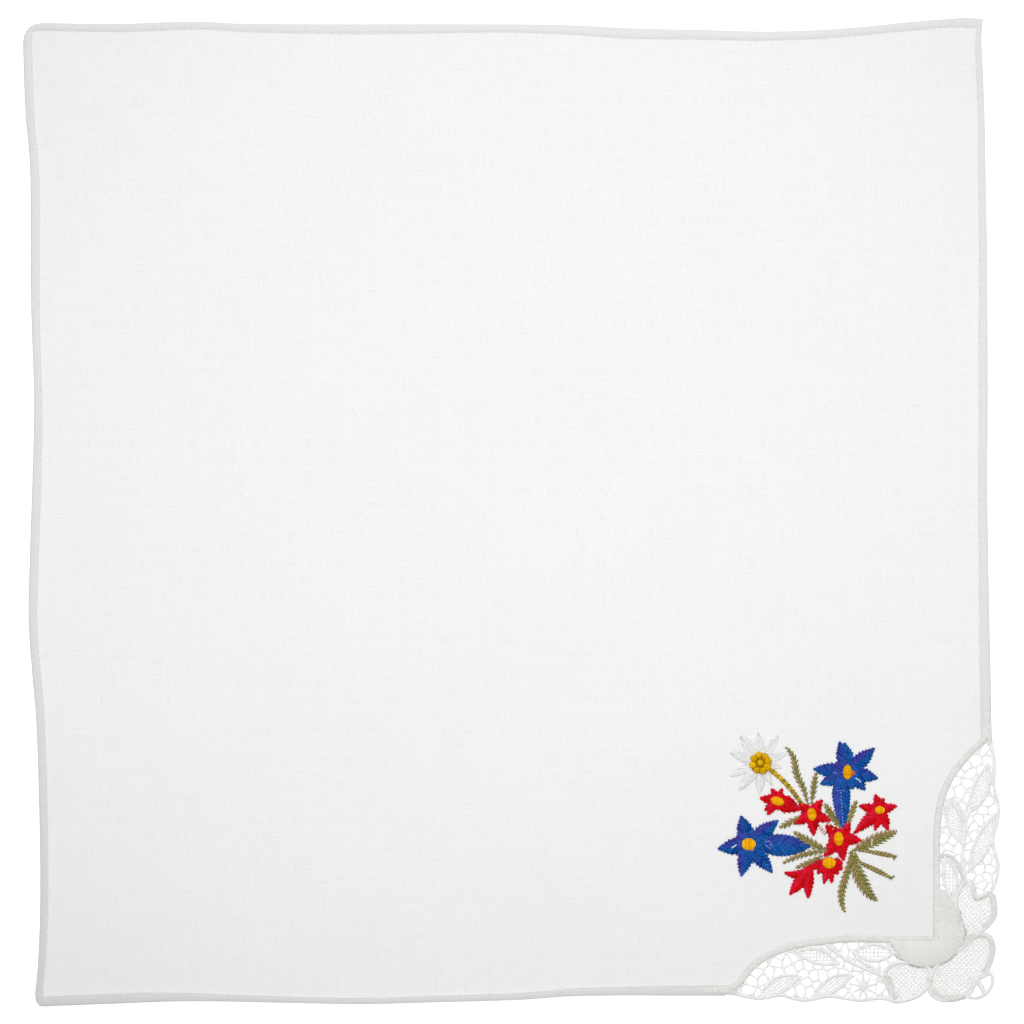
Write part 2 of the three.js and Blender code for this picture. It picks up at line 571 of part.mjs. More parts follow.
function laceLeaf(row) {
  const root = lacePoint(row);
  const tip = lacePoint({ u: row.tu, v: row.tv });
  const leaf = { x: root.x, y: root.y, tx: tip.x, ty: tip.y, w: row.w, bend: row.bend };
  if (row.kind === 'satin') {
    return prism(leafOutline(leaf, LEAF_SECTIONS), 0, LACE_HIGH);
  }
  const outer = leafOutline(leaf, LEAF_SECTIONS, CORD_WIDTH / 2);
  const inner = leafOutline(drawnIn(leaf, CORD_WIDTH / 2), LEAF_SECTIONS);
  return prism(outer, 0, LACE_LOW).add(prism(outer, 0, LACE_HIGH, [inner]));
}

function lacePanel(rows) {
  const outline = smoothLoop(rows.map(lacePoint));
  const outer = offsetPath(outline, CORD_WIDTH / 2, true);
  const inner = offsetPath(outline, -CORD_WIDTH / 2, true);
  return prism(outline, 0, LACE_LOW).add(prism(outer, 0, LACE_HIGH, [inner]));
}

function laceLoop(rows) {
  const outline = smoothLoop(rows.map(lacePoint));
  const outer = offsetPath(outline, CORD_WIDTH / 2, true);
  const inner = offsetPath(outline, -CORD_WIDTH / 2, true);
  return prism(outer, 0, LACE_HIGH, [inner]);
}

function bride([u, v, toU, toV]) {
  return band([lacePoint({ u, v }), lacePoint({ u: toU, v: toV })], BRIDE_WIDTH, LACE_LOW);
}

function discOutline(centre, rx, ry, turn, steps) {
  const outline = [];
  for (let index = 0; index < steps; index += 1) {
    const angle = 2 * Math.PI * index / steps;
    const point = new THREE.Vector2(rx * Math.cos(angle), ry * Math.sin(angle));
    outline.push(point.rotateAround(new THREE.Vector2(), THREE.MathUtils.degToRad(turn)).add(centre));
  }
  return outline;
}

function spiderFlower() {
  const centre = lacePoint(SPIDER);
  const outer = discOutline(centre, SPIDER.ring, SPIDER.ring, 0, RING_FACETS);
  const hole = SPIDER.ring - BRIDE_WIDTH;
  const inner = discOutline(centre, hole, hole, 0, RING_FACETS);
  const parts = [
    prism(outer, 0, LACE_LOW, [inner]),
    prism(discOutline(centre, SPIDER.disc, SPIDER.disc, 0, RING_FACETS), 0, LACE_HIGH),
  ];
  for (let index = 0; index < SPIDER.bars; index += 1) {
    const angle = 2 * Math.PI * index / SPIDER.bars + THREE.MathUtils.degToRad(SPIDER.turn);
    const reach = new THREE.Vector2(Math.cos(angle), Math.sin(angle));
    const end = centre.clone().addScaledVector(reach, SPIDER.ring - BRIDE_WIDTH / 2);
    parts.push(band([centre, end], BRIDE_WIDTH, LACE_LOW));
  }
  return joinAll(parts);
}

function cornerKnot() {
  const { radius } = CORNER_KNOT;
  return prism(discOutline(lacePoint(CORNER_KNOT), radius, radius, 0, RING_FACETS), 0, LACE_HIGH);
}

function laceSolid() {
  return joinAll([
    band(headingPath(), HEADING_WIDTH, LACE_HIGH),
    ...CORDS.map((rows) => band(smooth(rows.map(lacePoint)), CORD_WIDTH, LACE_HIGH)),
    ...LACE_LEAVES.map(laceLeaf),
    ...PANELS.map(lacePanel),
    ...LOOPS.map(laceLoop),
    ...BRIDES.map(bride),
    cornerKnot(),
    spiderFlower(),
  ]);
}

// ---- the embroidery ------------------------------------------------------------------------

function onBouquet(leaf) {
  return {
    ...leaf,
    x: leaf.x + BOUQUET_ORIGIN.x,
    y: leaf.y + BOUQUET_ORIGIN.y,
    tx: leaf.tx + BOUQUET_ORIGIN.x,
    ty: leaf.ty + BOUQUET_ORIGIN.y,
  };
}

// Raised pad with a ridge along its middle, as satin stitches meet there.
function ridgedPad(leaf) {
  const rings = leafSections(leaf, LOBE_SECTIONS).map((row) => {
    const crown = PAD_TIP + (PAD_CROWN - PAD_TIP) * row.fullness;
    const corners = [[-row.half, 0], [row.half, 0], [0, crown]];
    return corners.map(([across, up]) => {
      const point = row.middle.clone().addScaledVector(row.side, across);
      return new THREE.Vector3(point.x, point.y, THREAD_BASE + up);
    });
  });
  const { positions, faces, count } = loft(rings);
  const last = (rings.length - 1) * count;
  for (let corner = 1; corner + 1 < count; corner += 1) {
    faces.push(0, corner + 1, corner);
    faces.push(last, last + corner, last + corner + 1);
  }
  return toSolid(closedGeometry(positions, faces));
}

// Tall plug of a leaf grown by the gap, to cut room for it in what lies below.
function leafRoom(leaf) {
  return prism(leafOutline(leaf, LOBE_SECTIONS, GAP), 0, THREAD_BASE + CLEAR_ABOVE);
}

function eyeCentre(flower) {
  return new THREE.Vector2(flower.eye.x, flower.eye.y).add(BOUQUET_ORIGIN);
}

function petalLeaf(flower, petal) {
  const centre = eyeCentre(flower);
  const angle = THREE.MathUtils.degToRad(petal.deg);
  return {
    x: centre.x,
    y: centre.y,
    tx: centre.x + petal.len * Math.cos(angle),
    ty: centre.y + petal.len * Math.sin(angle),
    w: petal.w,
    bend: 0,
    belly: 0.5,
  };
}

// Round pad that joins a flower's petals under its eye.
function heartPad(flower) {
  const outline = discOutline(eyeCentre(flower), flower.heart, flower.heart, 0, EYE_FACETS);
  return prism(outline, THREAD_BASE, THREAD_BASE + PAD_CROWN);
}

function heartRoom(flower) {
  const radius = flower.heart + GAP;
  const outline = discOutline(eyeCentre(flower), radius, radius, 0, EYE_FACETS);
  return prism(outline, 0, THREAD_BASE + CLEAR_ABOVE);
}

// Petals joined round the eye, with a seat left open for it.
function petalSolid(flower) {
  const { rx, ry, turn } = flower.eye;
  const seat = discOutline(eyeCentre(flower), rx + GAP, ry + GAP, turn, EYE_FACETS);
  const petals = flower.petals.map((petal) => ridgedPad(petalLeaf(flower, petal)));
  const whole = joinAll([heartPad(flower), ...petals]);
  return whole.subtract(prism(seat, 0, THREAD_BASE + CLEAR_ABOVE));
}

function flowerRoom(flower) {
  const petals = flower.petals.map((petal) => leafRoom(petalLeaf(flower, petal)));
  return joinAll([heartRoom(flower), ...petals]);
}

// Domed eye of padded satin stitch.
function eyeSolid(flower) {
  const { rx, ry, turn } = flower.eye;
  const profile = [
    new THREE.Vector2(0, 0), new THREE.Vector2(1, 0), new THREE.Vector2(1, EYE_SHOULDER),
    new THREE.Vector2(EYE_SLOPE.radius, EYE_SLOPE.height * EYE_CROWN), new THREE.Vector2(0, EYE_CROWN),
  ];
  const geometry = new THREE.LatheGeometry(profile, EYE_FACETS);
  geometry.rotateX(Math.PI / 2);
  geometry.scale(rx, ry, 1);
  geometry.rotateZ(THREE.MathUtils.degToRad(turn));
  const centre = eyeCentre(flower);
  geometry.translate(centre.x, centre.y, THREAD_BASE);
  return toSolid(geometry);
}

function bellSolid() {
  return joinAll(BELL.lobes.map((lobe) => ridgedPad(onBouquet(lobe))));
}

function bellRoom() {
  return joinAll(BELL.lobes.map((lobe) => leafRoom(onBouquet(lobe))));
}

// Pads in the order of stitching, uppermost first: each is cut back where a later one
// covers it, so that no two touch.
function embroidery() {
  const pieces = [];
  const rooms = [];
  function lay(name, thread, solid, room) {
    const clear = rooms.reduce((rest, upper) => rest.subtract(upper), solid);
    pieces.push({ name, thread, solid: clear });
    rooms.push(room);
  }
  for (const flower of FLOWERS) {
    lay(`${flower.name}_petals`, flower.thread, petalSolid(flower), flowerRoom(flower));
    const eyeThread = flower.name === 'edelweiss' ? 'mustard' : 'yellow';
    pieces.push({ name: `${flower.name}_eye`, thread: eyeThread, solid: eyeSolid(flower) });
  }
  lay(BELL.name, BELL.thread, bellSolid(), bellRoom());
  for (const [thread, straps] of Object.entries(STRAPS)) {
    for (const strap of straps) {
      const leaf = onBouquet(strap);
      lay(strap.name, thread, ridgedPad(leaf), leafRoom(leaf));
    }
  }
  return pieces;
}

// ---- the whole handkerchief ------------------------------------------------------------------

function namedMesh(name, solid, finish) {
  const material = new THREE.MeshStandardMaterial({ ...finish, metalness: 0 });
  const mesh = new THREE.Mesh(toGeometry(solid), material);
  mesh.name = name;
  return mesh;
}

const handkerchief = new THREE.Group();
handkerchief.add(namedMesh('cloth', squareSolid().subtract(laceNotch()), BATISTE));
handkerchief.add(namedMesh('lace_corner', laceSolid(), GUIPURE));
for (const piece of embroidery()) {
  handkerchief.add(namedMesh(piece.name, piece.solid, THREADS[piece.thread]));
}

// The origin is the middle of the footprint, on the surface it lies on.
const footprint = new THREE.Box3().setFromObject(handkerchief);
const middle = footprint.getCenter(new THREE.Vector3());
handkerchief.position.set(-middle.x, -middle.y, 0);
handkerchief.updateMatrixWorld(true);

export default handkerchief;
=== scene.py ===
"""Embroidered handkerchief: batiste square, guipure lace corner and a stitched bouquet."""

import math
from functools import lru_cache

import bpy
import numpy as np
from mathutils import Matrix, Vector
from mathutils.geometry import delaunay_2d_cdt


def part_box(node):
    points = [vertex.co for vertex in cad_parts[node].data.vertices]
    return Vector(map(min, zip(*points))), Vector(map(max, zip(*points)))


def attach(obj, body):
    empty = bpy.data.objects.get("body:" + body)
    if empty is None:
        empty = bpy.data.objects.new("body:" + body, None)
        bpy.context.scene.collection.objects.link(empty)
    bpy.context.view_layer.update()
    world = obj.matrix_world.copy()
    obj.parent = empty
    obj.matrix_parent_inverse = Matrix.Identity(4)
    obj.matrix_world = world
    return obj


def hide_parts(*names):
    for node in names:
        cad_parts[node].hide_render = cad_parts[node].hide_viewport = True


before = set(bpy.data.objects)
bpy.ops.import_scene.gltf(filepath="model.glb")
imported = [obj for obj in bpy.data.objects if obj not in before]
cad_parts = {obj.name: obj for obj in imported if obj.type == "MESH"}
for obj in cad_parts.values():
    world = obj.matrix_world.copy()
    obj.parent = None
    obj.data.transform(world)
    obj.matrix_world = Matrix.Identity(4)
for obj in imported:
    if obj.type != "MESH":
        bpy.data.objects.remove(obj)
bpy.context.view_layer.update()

MM = 0.001
UP = np.array([0.0, 0.0, 1.0])
rng = np.random.default_rng(28)

# ---- driving dimensions, in millimetres from the middle of the square -------------------

SQUARE_HALF = 141
HEM_WIDTH = 2.65
CLOTH_THICK = 0.35
HEM_THICK = 0.72
LACE_ORIGIN = np.array([122.7, -123.5])
BOUQUET_ORIGIN = np.array([96.9, -97.4])
HEADING_WIDTH = 1.95
LACE_MID = 0.7

# Hemmed sides: (distance along the side, distance out from the middle).
SIDES = {
    "bottom": [(-135.6, 143.3), (-118, 142.6), (-94, 141.8), (-67, 142.2), (-44, 142.6),
               (-22, 142.1), (2, 141.4), (22, 140.2), (62, 140.2), (90, 140.3), (112, 140.4)],
    "right": [(-104, 139.5), (-62, 139.3), (-32, 138.7), (4, 138.1), (30, 138.2),
              (66, 138.1), (92, 137.7), (118, 137.2), (136, 136.4), (142.6, 136.8)],
    "top": [(-135.3, 141.8), (-114, 141.5), (-93, 142.2), (-74, 141.5), (-30, 141.4),
            (10, 141.3), (36, 140.2), (58, 139.7), (76, 139.3), (95, 140.1), (114, 141.9),
            (130, 143.2), (136.2, 143.0)],
    "left": [(-139.4, 137.9), (-128, 136.9), (-108, 136.4), (-82, 136.8), (-60, 137.6),
             (-46, 138.8), (-31, 139.8), (-12, 139.4), (12, 138.6), (34, 138.2), (62, 139.1),
             (98, 139.3), (116, 140.7), (135.7, 141.4)],
}

# The hem was folded by hand. Its width as given: (distance along the side, width).
HEM_WIDTHS = {
    "bottom": [(-110, 3.1), (-85, 2.1), (-60, 1.8), (10, 2.1), (55, 3.1)],
    "right": [(-55, 3.3), (15, 2.6), (50, 2.7), (120, 1.8)],
    "top": [(-85, 2.2), (-45, 2.8), (-5, 2.2), (35, 2.9), (80, 2.5), (120, 2.6)],
    "left": [(-80, 2.4), (-40, 2.5), (0, 2.7), (40, 2.3), (80, 2.7)],
}

# Heading of the lace: (u, v) from its inner corner.
HEADING_UPRIGHT = [(14.9, 58.5), (14.3, 57.4), (11.6, 55.0), (8.0, 51.0), (4.8, 46.6),
                   (2.5, 41.4), (1.3, 36.0), (0.8, 29.0), (0.7, 14.0)]
HEADING_LEVEL = [(-14.0, -0.4), (-25.0, -0.3), (-34.0, -1.2), (-41.0, -2.4), (-47.5, -4.8),
                 (-52.2, -7.8), (-55.0, -11.0), (-57.2, -13.7), (-59.4, -14.9)]
HEADING_TOP = (14.9, 59.0)
HEADING_CORNER = (0.7, -0.5)
HEADING_END = (-60.0, -14.9)

# Net leaves: root u, v, tip u, v, width, bend, pitch of the net, its angle in degrees.
NET_LEAVES = [
    (9.9, 36.2, 15.6, 50.5, 5.0, -0.7, 0.85, 25), (8.0, 27.6, 4.6, 40.3, 5.0, 0.5, 0.85, 15),
    (10.0, 19.6, 17.3, 35.8, 5.0, -0.5, 0.85, 30), (5.2, 10.6, 3.0, 23.8, 4.4, -0.6, 1.05, 0),
    (-27.6, -7.4, -40.0, -3.9, 4.6, -0.3, 1.0, 0), (-50.5, -16.8, -38.8, -11.0, 5.0, 0.4, 0.85, 35),
    (-35.2, -17.0, -23.8, -10.6, 4.6, 0.3, 0.85, 40), (-11.4, -4.2, -23.6, -3.9, 5.4, 0.2, 1.1, 0),
]
# The filled corner is stitched from the heading's middle line out to its own edge.
SATIN_INNER = [(0.7, 14.4), (0.7, 8.0), (0.7, 2.0), (0.9, -0.3), (-2.0, -0.5), (-7.6, -0.5),
               (-12.8, -0.5)]
SATIN_OUTER = [(1.9, 13.8), (5.5, 10.9), (7.5, 6.5), (8.0, 2.4), (9.0, -0.8), (6.2, -5.0),
               (3.4, -7.2), (-0.4, -8.5), (-5.0, -8.5), (-9.6, -6.3), (-11.2, -3.8), (-12.6, -1.5)]

# Big petals filled with diagonal net: closed corded outlines.
PANELS = [
    [(9.6, 16.8), (12.0, 12.2), (15.8, 12.8), (17.7, 9.4), (17.0, 5.4), (13.4, 1.9),
     (8.4, -1.4), (7.0, 4.5), (6.4, 11.5)],
    [(8.2, -2.6), (12.2, 0.6), (15.9, 0.5), (17.2, -2.8), (16.3, -7.2), (14.2, -10.4),
     (10.9, -11.4), (10.2, -14.4), (7.4, -17.0), (3.0, -18.0), (-0.7, -16.4), (-1.5, -12.6),
     (0.6, -8.2), (4.2, -5.6)],
    [(-14.9, -11.0), (-11.8, -7.6), (-6.5, -7.2), (-1.6, -8.8), (-1.5, -12.8), (-4.0, -16.2),
     (-8.4, -18.0), (-12.2, -18.0), (-12.9, -14.2)],
]
LOOPS = [
    [(15.6, -9.6), (16.9, -11.2), (16.7, -13.6), (15.0, -16.0), (12.2, -17.4), (9.2, -16.9)],
    [(10.9, -11.2), (11.6, -13.4), (10.6, -15.6), (9.2, -16.9)],
    [(10.9, -11.2), (13.0, -11.6), (15.6, -10.4)],
]
LOOP_BAR = [(11.2, -11.4), (13.2, -13.4), (14.4, -15.6)]
OUTER_CORDS = [
    [(15.7, 58.2), (16.7, 55.0), (17.4, 50.6), (17.2, 45.0), (17.9, 41.3), (18.6, 37.5),
     (18.1, 33.2), (16.9, 28.4), (17.8, 24.2), (18.5, 20.6), (17.8, 16.6), (16.0, 12.8)],
    [(-59.0, -15.8), (-55.0, -16.8), (-50.4, -17.4), (-44.6, -16.5), (-41.0, -17.4),
     (-37.4, -18.0), (-33.0, -17.2), (-29.2, -16.8), (-25.5, -17.5), (-21.0, -18.0),
     (-16.0, -17.4), (-12.2, -18.0)],
]
STEM_CORDS = [
    [(10.4, 37.0), (9.4, 34.8), (8.9, 31.4), (8.6, 27.6)],
    [(5.6, 40.2), (7.6, 37.6), (9.4, 34.8)],
    [(8.6, 27.6), (8.1, 22.0), (9.4, 16.4)],
    [(-31.4, -1.8), (-26.0, -6.0), (-21.2, -8.4), (-14.9, -11.0)],
    [(-23.6, -3.9), (-21.6, -6.4), (-17.6, -8.8), (-14.9, -11.0)],
]

# The open ground is a web of bars, about this far from the middle of one hole to the next.
CELL = 3.2
SPIDER = {"at": (-20.6, -14.0), "disc": 1.3, "ring": 4.3, "bars": 9, "turn": 10, "room": 3.3}

# Flowers: thread; middle x, y; eye as shift x, y, half axes and turn; filled heart as shift
# x, y and radius; petals as direction, length, width and, if not in the middle, belly.
FLOWERS = {
    "rose_middle": ("red", (-1.7, 2.9), (-0.2, -0.2, 1.4, 1.9, 4), (0.1, -0.5, 3.5),
                    [(137, 5.3, 3.8), (55, 5.3, 3.8), (-6, 6.3, 3.8), (-79, 6.5, 3.6),
                     (-129, 6.8, 3.8)]),
    "rose_upper": ("red", (-9.7, 9.9), (0.0, -0.1, 1.3, 1.75, 10), (0.2, -0.4, 3.0),
                   [(141, 4.7, 3.4), (54, 5.0, 3.2), (-20, 5.6, 3.4), (-85, 6.2, 3.4),
                    (-150, 5.7, 3.4)]),
    "rose_left": ("red", (-19.8, 13.7), (0.1, -0.1, 1.9, 1.25, -16), (0.5, -0.1, 2.6),
                  [(171, 4.9, 3.0), (112, 3.7, 2.2), (66, 3.7, 2.2), (-142, 4.4, 2.6),
                   (-124, 4.8, 2.6), (-21, 7.3, 5.6, 0.36)]),
    "rose_right": ("red", (10.0, 11.0), (0.0, 0.0, 1.35, 1.15, 0), (-0.5, -1.6, 2.9),
                   [(105, 4.6, 2.8), (72, 3.5, 2.2), (14, 5.0, 2.8), (-67, 6.2, 3.4),
                    (-103, 6.0, 2.6), (169, 6.0, 2.8), (-138, 10.0, 3.9, 0.36)]),
    "rose_lower": ("red", (-4.7, -4.3), (0.0, 0.0, 1.8, 1.7, 0), (-0.2, -1.0, 2.8),
                   [(-2, 3.9, 3.6, 0.6), (-26, 4.2, 4.0, 0.62), (-50, 4.1, 3.6, 0.6),
                    (-82, 5.7, 2.6), (-104, 6.1, 2.6),
                    (-138, 4.5, 2.8), (-169, 6.3, 3.2)]),
    "gentian_upper": ("blue", (1.0, 22.0), (-0.35, 0.0, 1.36, 2.05, 0), (-1.0, -0.7, 4.5),
                      [(-103, 5.4, 5.0), (-76, 5.0, 4.6), (-132, 6.4, 4.6), (98, 8.5, 4.6),
                       (107, 9.1, 5.0), (43, 10.1, 4.8), (-12, 8.5, 4.6), (-47, 6.9, 4.4),
                       (-157, 8.8, 4.8), (175, 10.2, 4.8)]),
    "gentian_left": ("blue", (-28.0, 1.1), (0.0, 0.0, 2.0, 1.85, 0), (0.1, 0.0, 4.5),
                     [(105, 8.4, 5.2), (39, 10.9, 5.0), (-50, 10.6, 4.8), (-103, 9.4, 4.8),
                      (-171, 8.9, 5.2)]),
    "edelweiss": ("silver", (-24.6, 24.9), (0.0, -0.25, 3.2, 3.2, 0), (0.0, 0.0, 3.6),
                  [(127, 9.6, 3.8), (94, 8.6, 2.9), (56, 9.4, 3.0), (18, 8.0, 2.7),
                   (-15, 6.2, 2.4), (-63, 7.4, 2.4), (-91, 9.4, 3.1), (-127, 10.4, 3.4),
                   (-155, 9.5, 2.8), (163, 9.2, 3.4)]),
}

# Single stitched pieces: root x, y, tip x, y, width, bend, belly.
STRAPS = {
    "gentian_upper_tube": ("blue", (-1.3, 18.4, -0.7, 6.0, 5.9, 0.0, 0.3)),
    "gentian_left_calyx": ("blue", (-26.0, 1.1, -10.2, 0.5, 7.0, 0.0, 0.46)),
    "edelweiss_stem": ("gold", (-22.0, 22.9, -12.6, 12.6, 1.4, 0.7, 0.5)),
    "leaf_tall": ("olive", (-10.8, 12.6, -17.1, 29.0, 1.9, -0.4, 0.55)),
    "leaf_short": ("olive", (-9.8, 12.6, -8.4, 21.8, 1.7, 0.1, 0.6)),
    "leaf_under_left_rose": ("olive", (-13.4, 9.1, -19.0, 6.0, 1.9, 0.2, 0.55)),
    "leaf_left_of_tube": ("olive", (-0.9, 5.6, -5.9, 12.9, 2.2, 0.3, 0.55)),
    "leaf_right_of_tube": ("olive", (0.4, 5.8, 3.3, 13.7, 1.8, 0.2, 0.6)),
    "leaf_over_calyx": ("olive", (-5.4, -0.6, -14.9, 4.7, 2.4, 0.4, 0.5)),
    "leaf_under_calyx": ("olive", (-5.4, -1.0, -18.0, -4.4, 1.6, -0.9, 0.5)),
    "leaf_low_left": ("olive", (-6.6, -2.2, -14.3, -5.7, 1.5, 0.2, 0.5)),
    "leaf_big_right": ("olive", (2.2, -0.8, 14.9, 4.8, 3.7, 0.25, 0.52)),
    "leaf_thin_right": ("olive", (4.0, -0.6, 15.0, -2.7, 1.4, 0.2, 0.6)),
    "leaf_thin_low": ("olive", (2.9, -1.4, 13.6, -8.8, 1.3, 0.2, 0.6)),
    "leaf_big_low": ("olive", (1.6, -1.0, 9.2, -15.2, 3.9, 0.2, 0.5)),
    "leaf_down": ("olive", (1.2, -1.6, -0.3, -18.6, 2.2, -1.0, 0.55)),
}
# Leaves whose line isn't one plain bend.
SPINES = {
    "leaf_tall": [(-10.8, 12.6), (-12.0, 17.0), (-14.1, 21.4), (-15.0, 26.2), (-17.1, 29.2)],
    "leaf_thin_low": [(2.9, -1.4), (3.6, -3.4), (4.9, -4.5), (8.3, -6.1), (13.5, -8.8)],
    "leaf_big_low": [(1.6, -1.0), (2.4, -4.0), (3.3, -6.7), (4.4, -8.9), (5.6, -11.2),
                     (7.0, -13.3), (9.2, -15.3)],
    "leaf_down": [(1.8, -1.2), (1.2, -4.3), (0.5, -7.1), (-0.3, -9.7), (-1.0, -12.4),
                  (-1.1, -15.4), (-0.2, -18.5)],
}
BELL_LOBES = [
    (-8.9, -4.6, -13.0, -9.0, 3.0, 0.0, 0.5), (-9.3, -5.6, -17.5, -7.2, 2.6, 1.2, 0.5),
    (-9.6, -5.4, -16.0, -13.4, 4.0, 0.0, 0.5), (-9.6, -5.4, -10.7, -14.4, 3.2, -0.5, 0.5),
]


def lin(r, g, b):
    """Scene-linear colour of an 8-bit display colour."""
    c = np.array([r, g, b], float) / 255
    return np.where(c <= 0.04045, c / 12.92, ((c + 0.055) / 1.055) ** 2.4)


# Thread colours: a shade is drawn between the two for each stitch.
THREADS = {
    "red": (lin(190, 2, 12), lin(232, 14, 32)),
    "blue": (lin(8, 58, 138), lin(34, 102, 186)),
    "silver": (lin(231, 233, 232), lin(236, 237, 237)),
    "gold": (lin(224, 182, 36), lin(150, 128, 58)),
    "olive": (lin(112, 114, 44), lin(176, 158, 104)),
    "yellow": (lin(255, 204, 14), lin(240, 160, 6)),
    "mustard": (lin(222, 170, 4), lin(244, 202, 20)),
}
VIOLET = lin(96, 50, 168)
TEAL = lin(10, 120, 160)
PINK = lin(240, 44, 96)
RUST = lin(190, 146, 116)
GREEN = lin(104, 128, 36)
LACE_THREAD = (lin(246, 247, 245), lin(251, 252, 250))
# The dense satin, heading and heavy cords use the same white thread coloured darker: painted shade
# of the thicker work.
SATIN_THREAD_PAINTED_SHADE = (lin(231, 231.5, 228), lin(237, 237.5, 234))

# ---- curves --------------------------------------------------------------------------------


def smooth(points, step, closed=False):
    """Smooth curve through the points, sampled about every step."""
    p = np.asarray(points, float)
    ring = np.vstack([p[-1:], p, p[:2]]) if closed else np.vstack([p[:1], p, p[-1:]])
    parts = []
    for p0, p1, p2, p3 in zip(ring, ring[1:], ring[2:], ring[3:]):
        count = max(2, math.ceil(np.linalg.norm(p2 - p1) / step))
        t = (np.arange(count) / count)[:, None]
        a, b = (p2 - p0) / 2, (p3 - p1) / 2
        parts.append((2 * t**3 - 3 * t**2 + 1) * p1 + (t**3 - 2 * t**2 + t) * a
                     + (3 * t**2 - 2 * t**3) * p2 + (t**3 - t**2) * b)
    if not closed:
        parts.append(p[-1:])
    return np.vstack(parts)


def even(path, spacing, closed=False):
    """The same path at equal steps, with the unit direction at each point."""
    p = np.vstack([path, path[:1]]) if closed else np.asarray(path, float)
    length = np.concatenate([[0], np.cumsum(np.linalg.norm(np.diff(p, axis=0), axis=1))])
    count = max(2, round(length[-1] / spacing))
    at = np.linspace(0, length[-1], count + 1)
    if closed:
        at = at[:-1]
    ease = spacing / 2

    def sample(s):
        s = s % length[-1] if closed else np.clip(s, 0, length[-1])
        return np.stack([np.interp(s, length, p[:, k]) for k in range(p.shape[1])], axis=1)

    ahead = sample(at + ease) - sample(at - ease)
    return sample(at), ahead / np.linalg.norm(ahead, axis=1)[:, None]


def left_of(direction):
    """One direction, or each of several, turned a quarter to the left."""
    return direction[..., ::-1] * (-1, 1)


def ray(angle):
    """Unit direction at that angle in radians."""
    return np.array([math.cos(angle), math.sin(angle)])


def at_height(points, height):
    """Points in the plane set at a height: one for all, or one each."""
    return np.column_stack([points, np.full(len(points), height)])


def inside(points, polygon):
    """Which points lie inside the polygon."""
    x, y = points[:, 0], points[:, 1]
    result = np.zeros(len(points), bool)
    for (x0, y0), (x1, y1) in zip(polygon, np.roll(polygon, -1, axis=0)):
        if y0 != y1:
            crosses = ((y0 > y) != (y1 > y)) & (x < (x1 - x0) * (y - y0) / (y1 - y0) + x0)
            result ^= crosses
    return result


def distance_to(points, path, closed=True):
    """Distance from each point to the path."""
    best = np.full(len(points), 1e9)
    ends = np.roll(path, -1, axis=0) if closed else path[1:]
    for a, b in zip(path, ends):
        ab = b - a
        t = np.clip((points - a) @ ab / (ab @ ab), 0, 1)
        best = np.minimum(best, np.linalg.norm(points - a - t[:, None] * ab, axis=1))
    return best


# ---- where things are ------------------------------------------------------------------------


def hem_share(side, along):
    """How wide the hem is there, as a share of HEM_WIDTH."""
    place, width = np.array(HEM_WIDTHS[side]).T
    return np.interp(along, place, width) / HEM_WIDTH


def hem_share_at(points):
    """The same for points anywhere, with one side passing into the next at the corners."""
    x, y = points.T
    level = np.where(y < 0, hem_share("bottom", x), hem_share("top", x))
    upright = np.where(x < 0, hem_share("left", y), hem_share("right", y))
    blend = np.clip((abs(y) - abs(x)) / 10 + 0.5, 0, 1)
    return blend * level + (1 - blend) * upright


def outline(inset, step=1.2):
    """The hemmed square drawn in by inset, counterclockwise from the bottom left corner."""
    place = {"bottom": lambda p: (p[0], -p[1]), "right": lambda p: (p[1], p[0]),
             "top": lambda p: (p[0], p[1]), "left": lambda p: (-p[1], p[0])}
    runs = []
    for name, rows in SIDES.items():
        p = smooth(rows, step)
        p = np.stack([p[:, 0] * (1 - inset / SQUARE_HALF),
                      p[:, 1] - inset * hem_share(name, p[:, 0])], axis=1)
        run = np.array([place[name](q) for q in p])
        runs.append(run if name in ("bottom", "right") else run[::-1])
    result = []
    for index, run in enumerate(runs):
        a, b = run[-1], runs[(index + 1) % 4][0]
        knee = np.array([b[0], a[1]] if index % 2 == 0 else [a[0], b[1]])
        sharper = min(inset / HEM_WIDTH, 1) * 0.8
        a, b = a + (knee - a) * sharper, b + (knee - b) * sharper
        t = (np.arange(1, 8) / 8)[:, None]
        result += [run, (1 - t) ** 2 * a + 2 * t * (1 - t) * knee + t**2 * b]
    return np.vstack(result)


EDGE = outline(0)
SHIFT = np.array(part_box("cloth")[0][:2]) / MM - EDGE.min(axis=0)
heading = np.vstack([[HEADING_TOP], smooth(HEADING_UPRIGHT, 0.7), [HEADING_CORNER],
                     smooth(HEADING_LEVEL, 0.7), [HEADING_END]]) + LACE_ORIGIN
# The notch's outline runs this far past the square.
REACH = 40
NOTCH = np.vstack([heading[:1] + (REACH, 0), heading[:1], heading[1:-1], heading[-1:],
                   heading[-1:] - (0, REACH), heading[-1:] + (2 * REACH, -REACH)])

# Where the cloth puckers round the stitches.
BOUQUET_RING = BOUQUET_ORIGIN + np.array(
    [(-33, 2), (-28, 10), (-22, 31), (-14, 27), (3, 30), (16, 12), (15, -9), (8, -16),
     (-2, -17), (-16, -12), (-28, -8)], float)
# Waves of the cloth: direction, length and phase.
WAVES = [(rng.uniform(0, math.tau), rng.uniform(55, 130), rng.uniform(0, math.tau))
         for _ in range(7)]


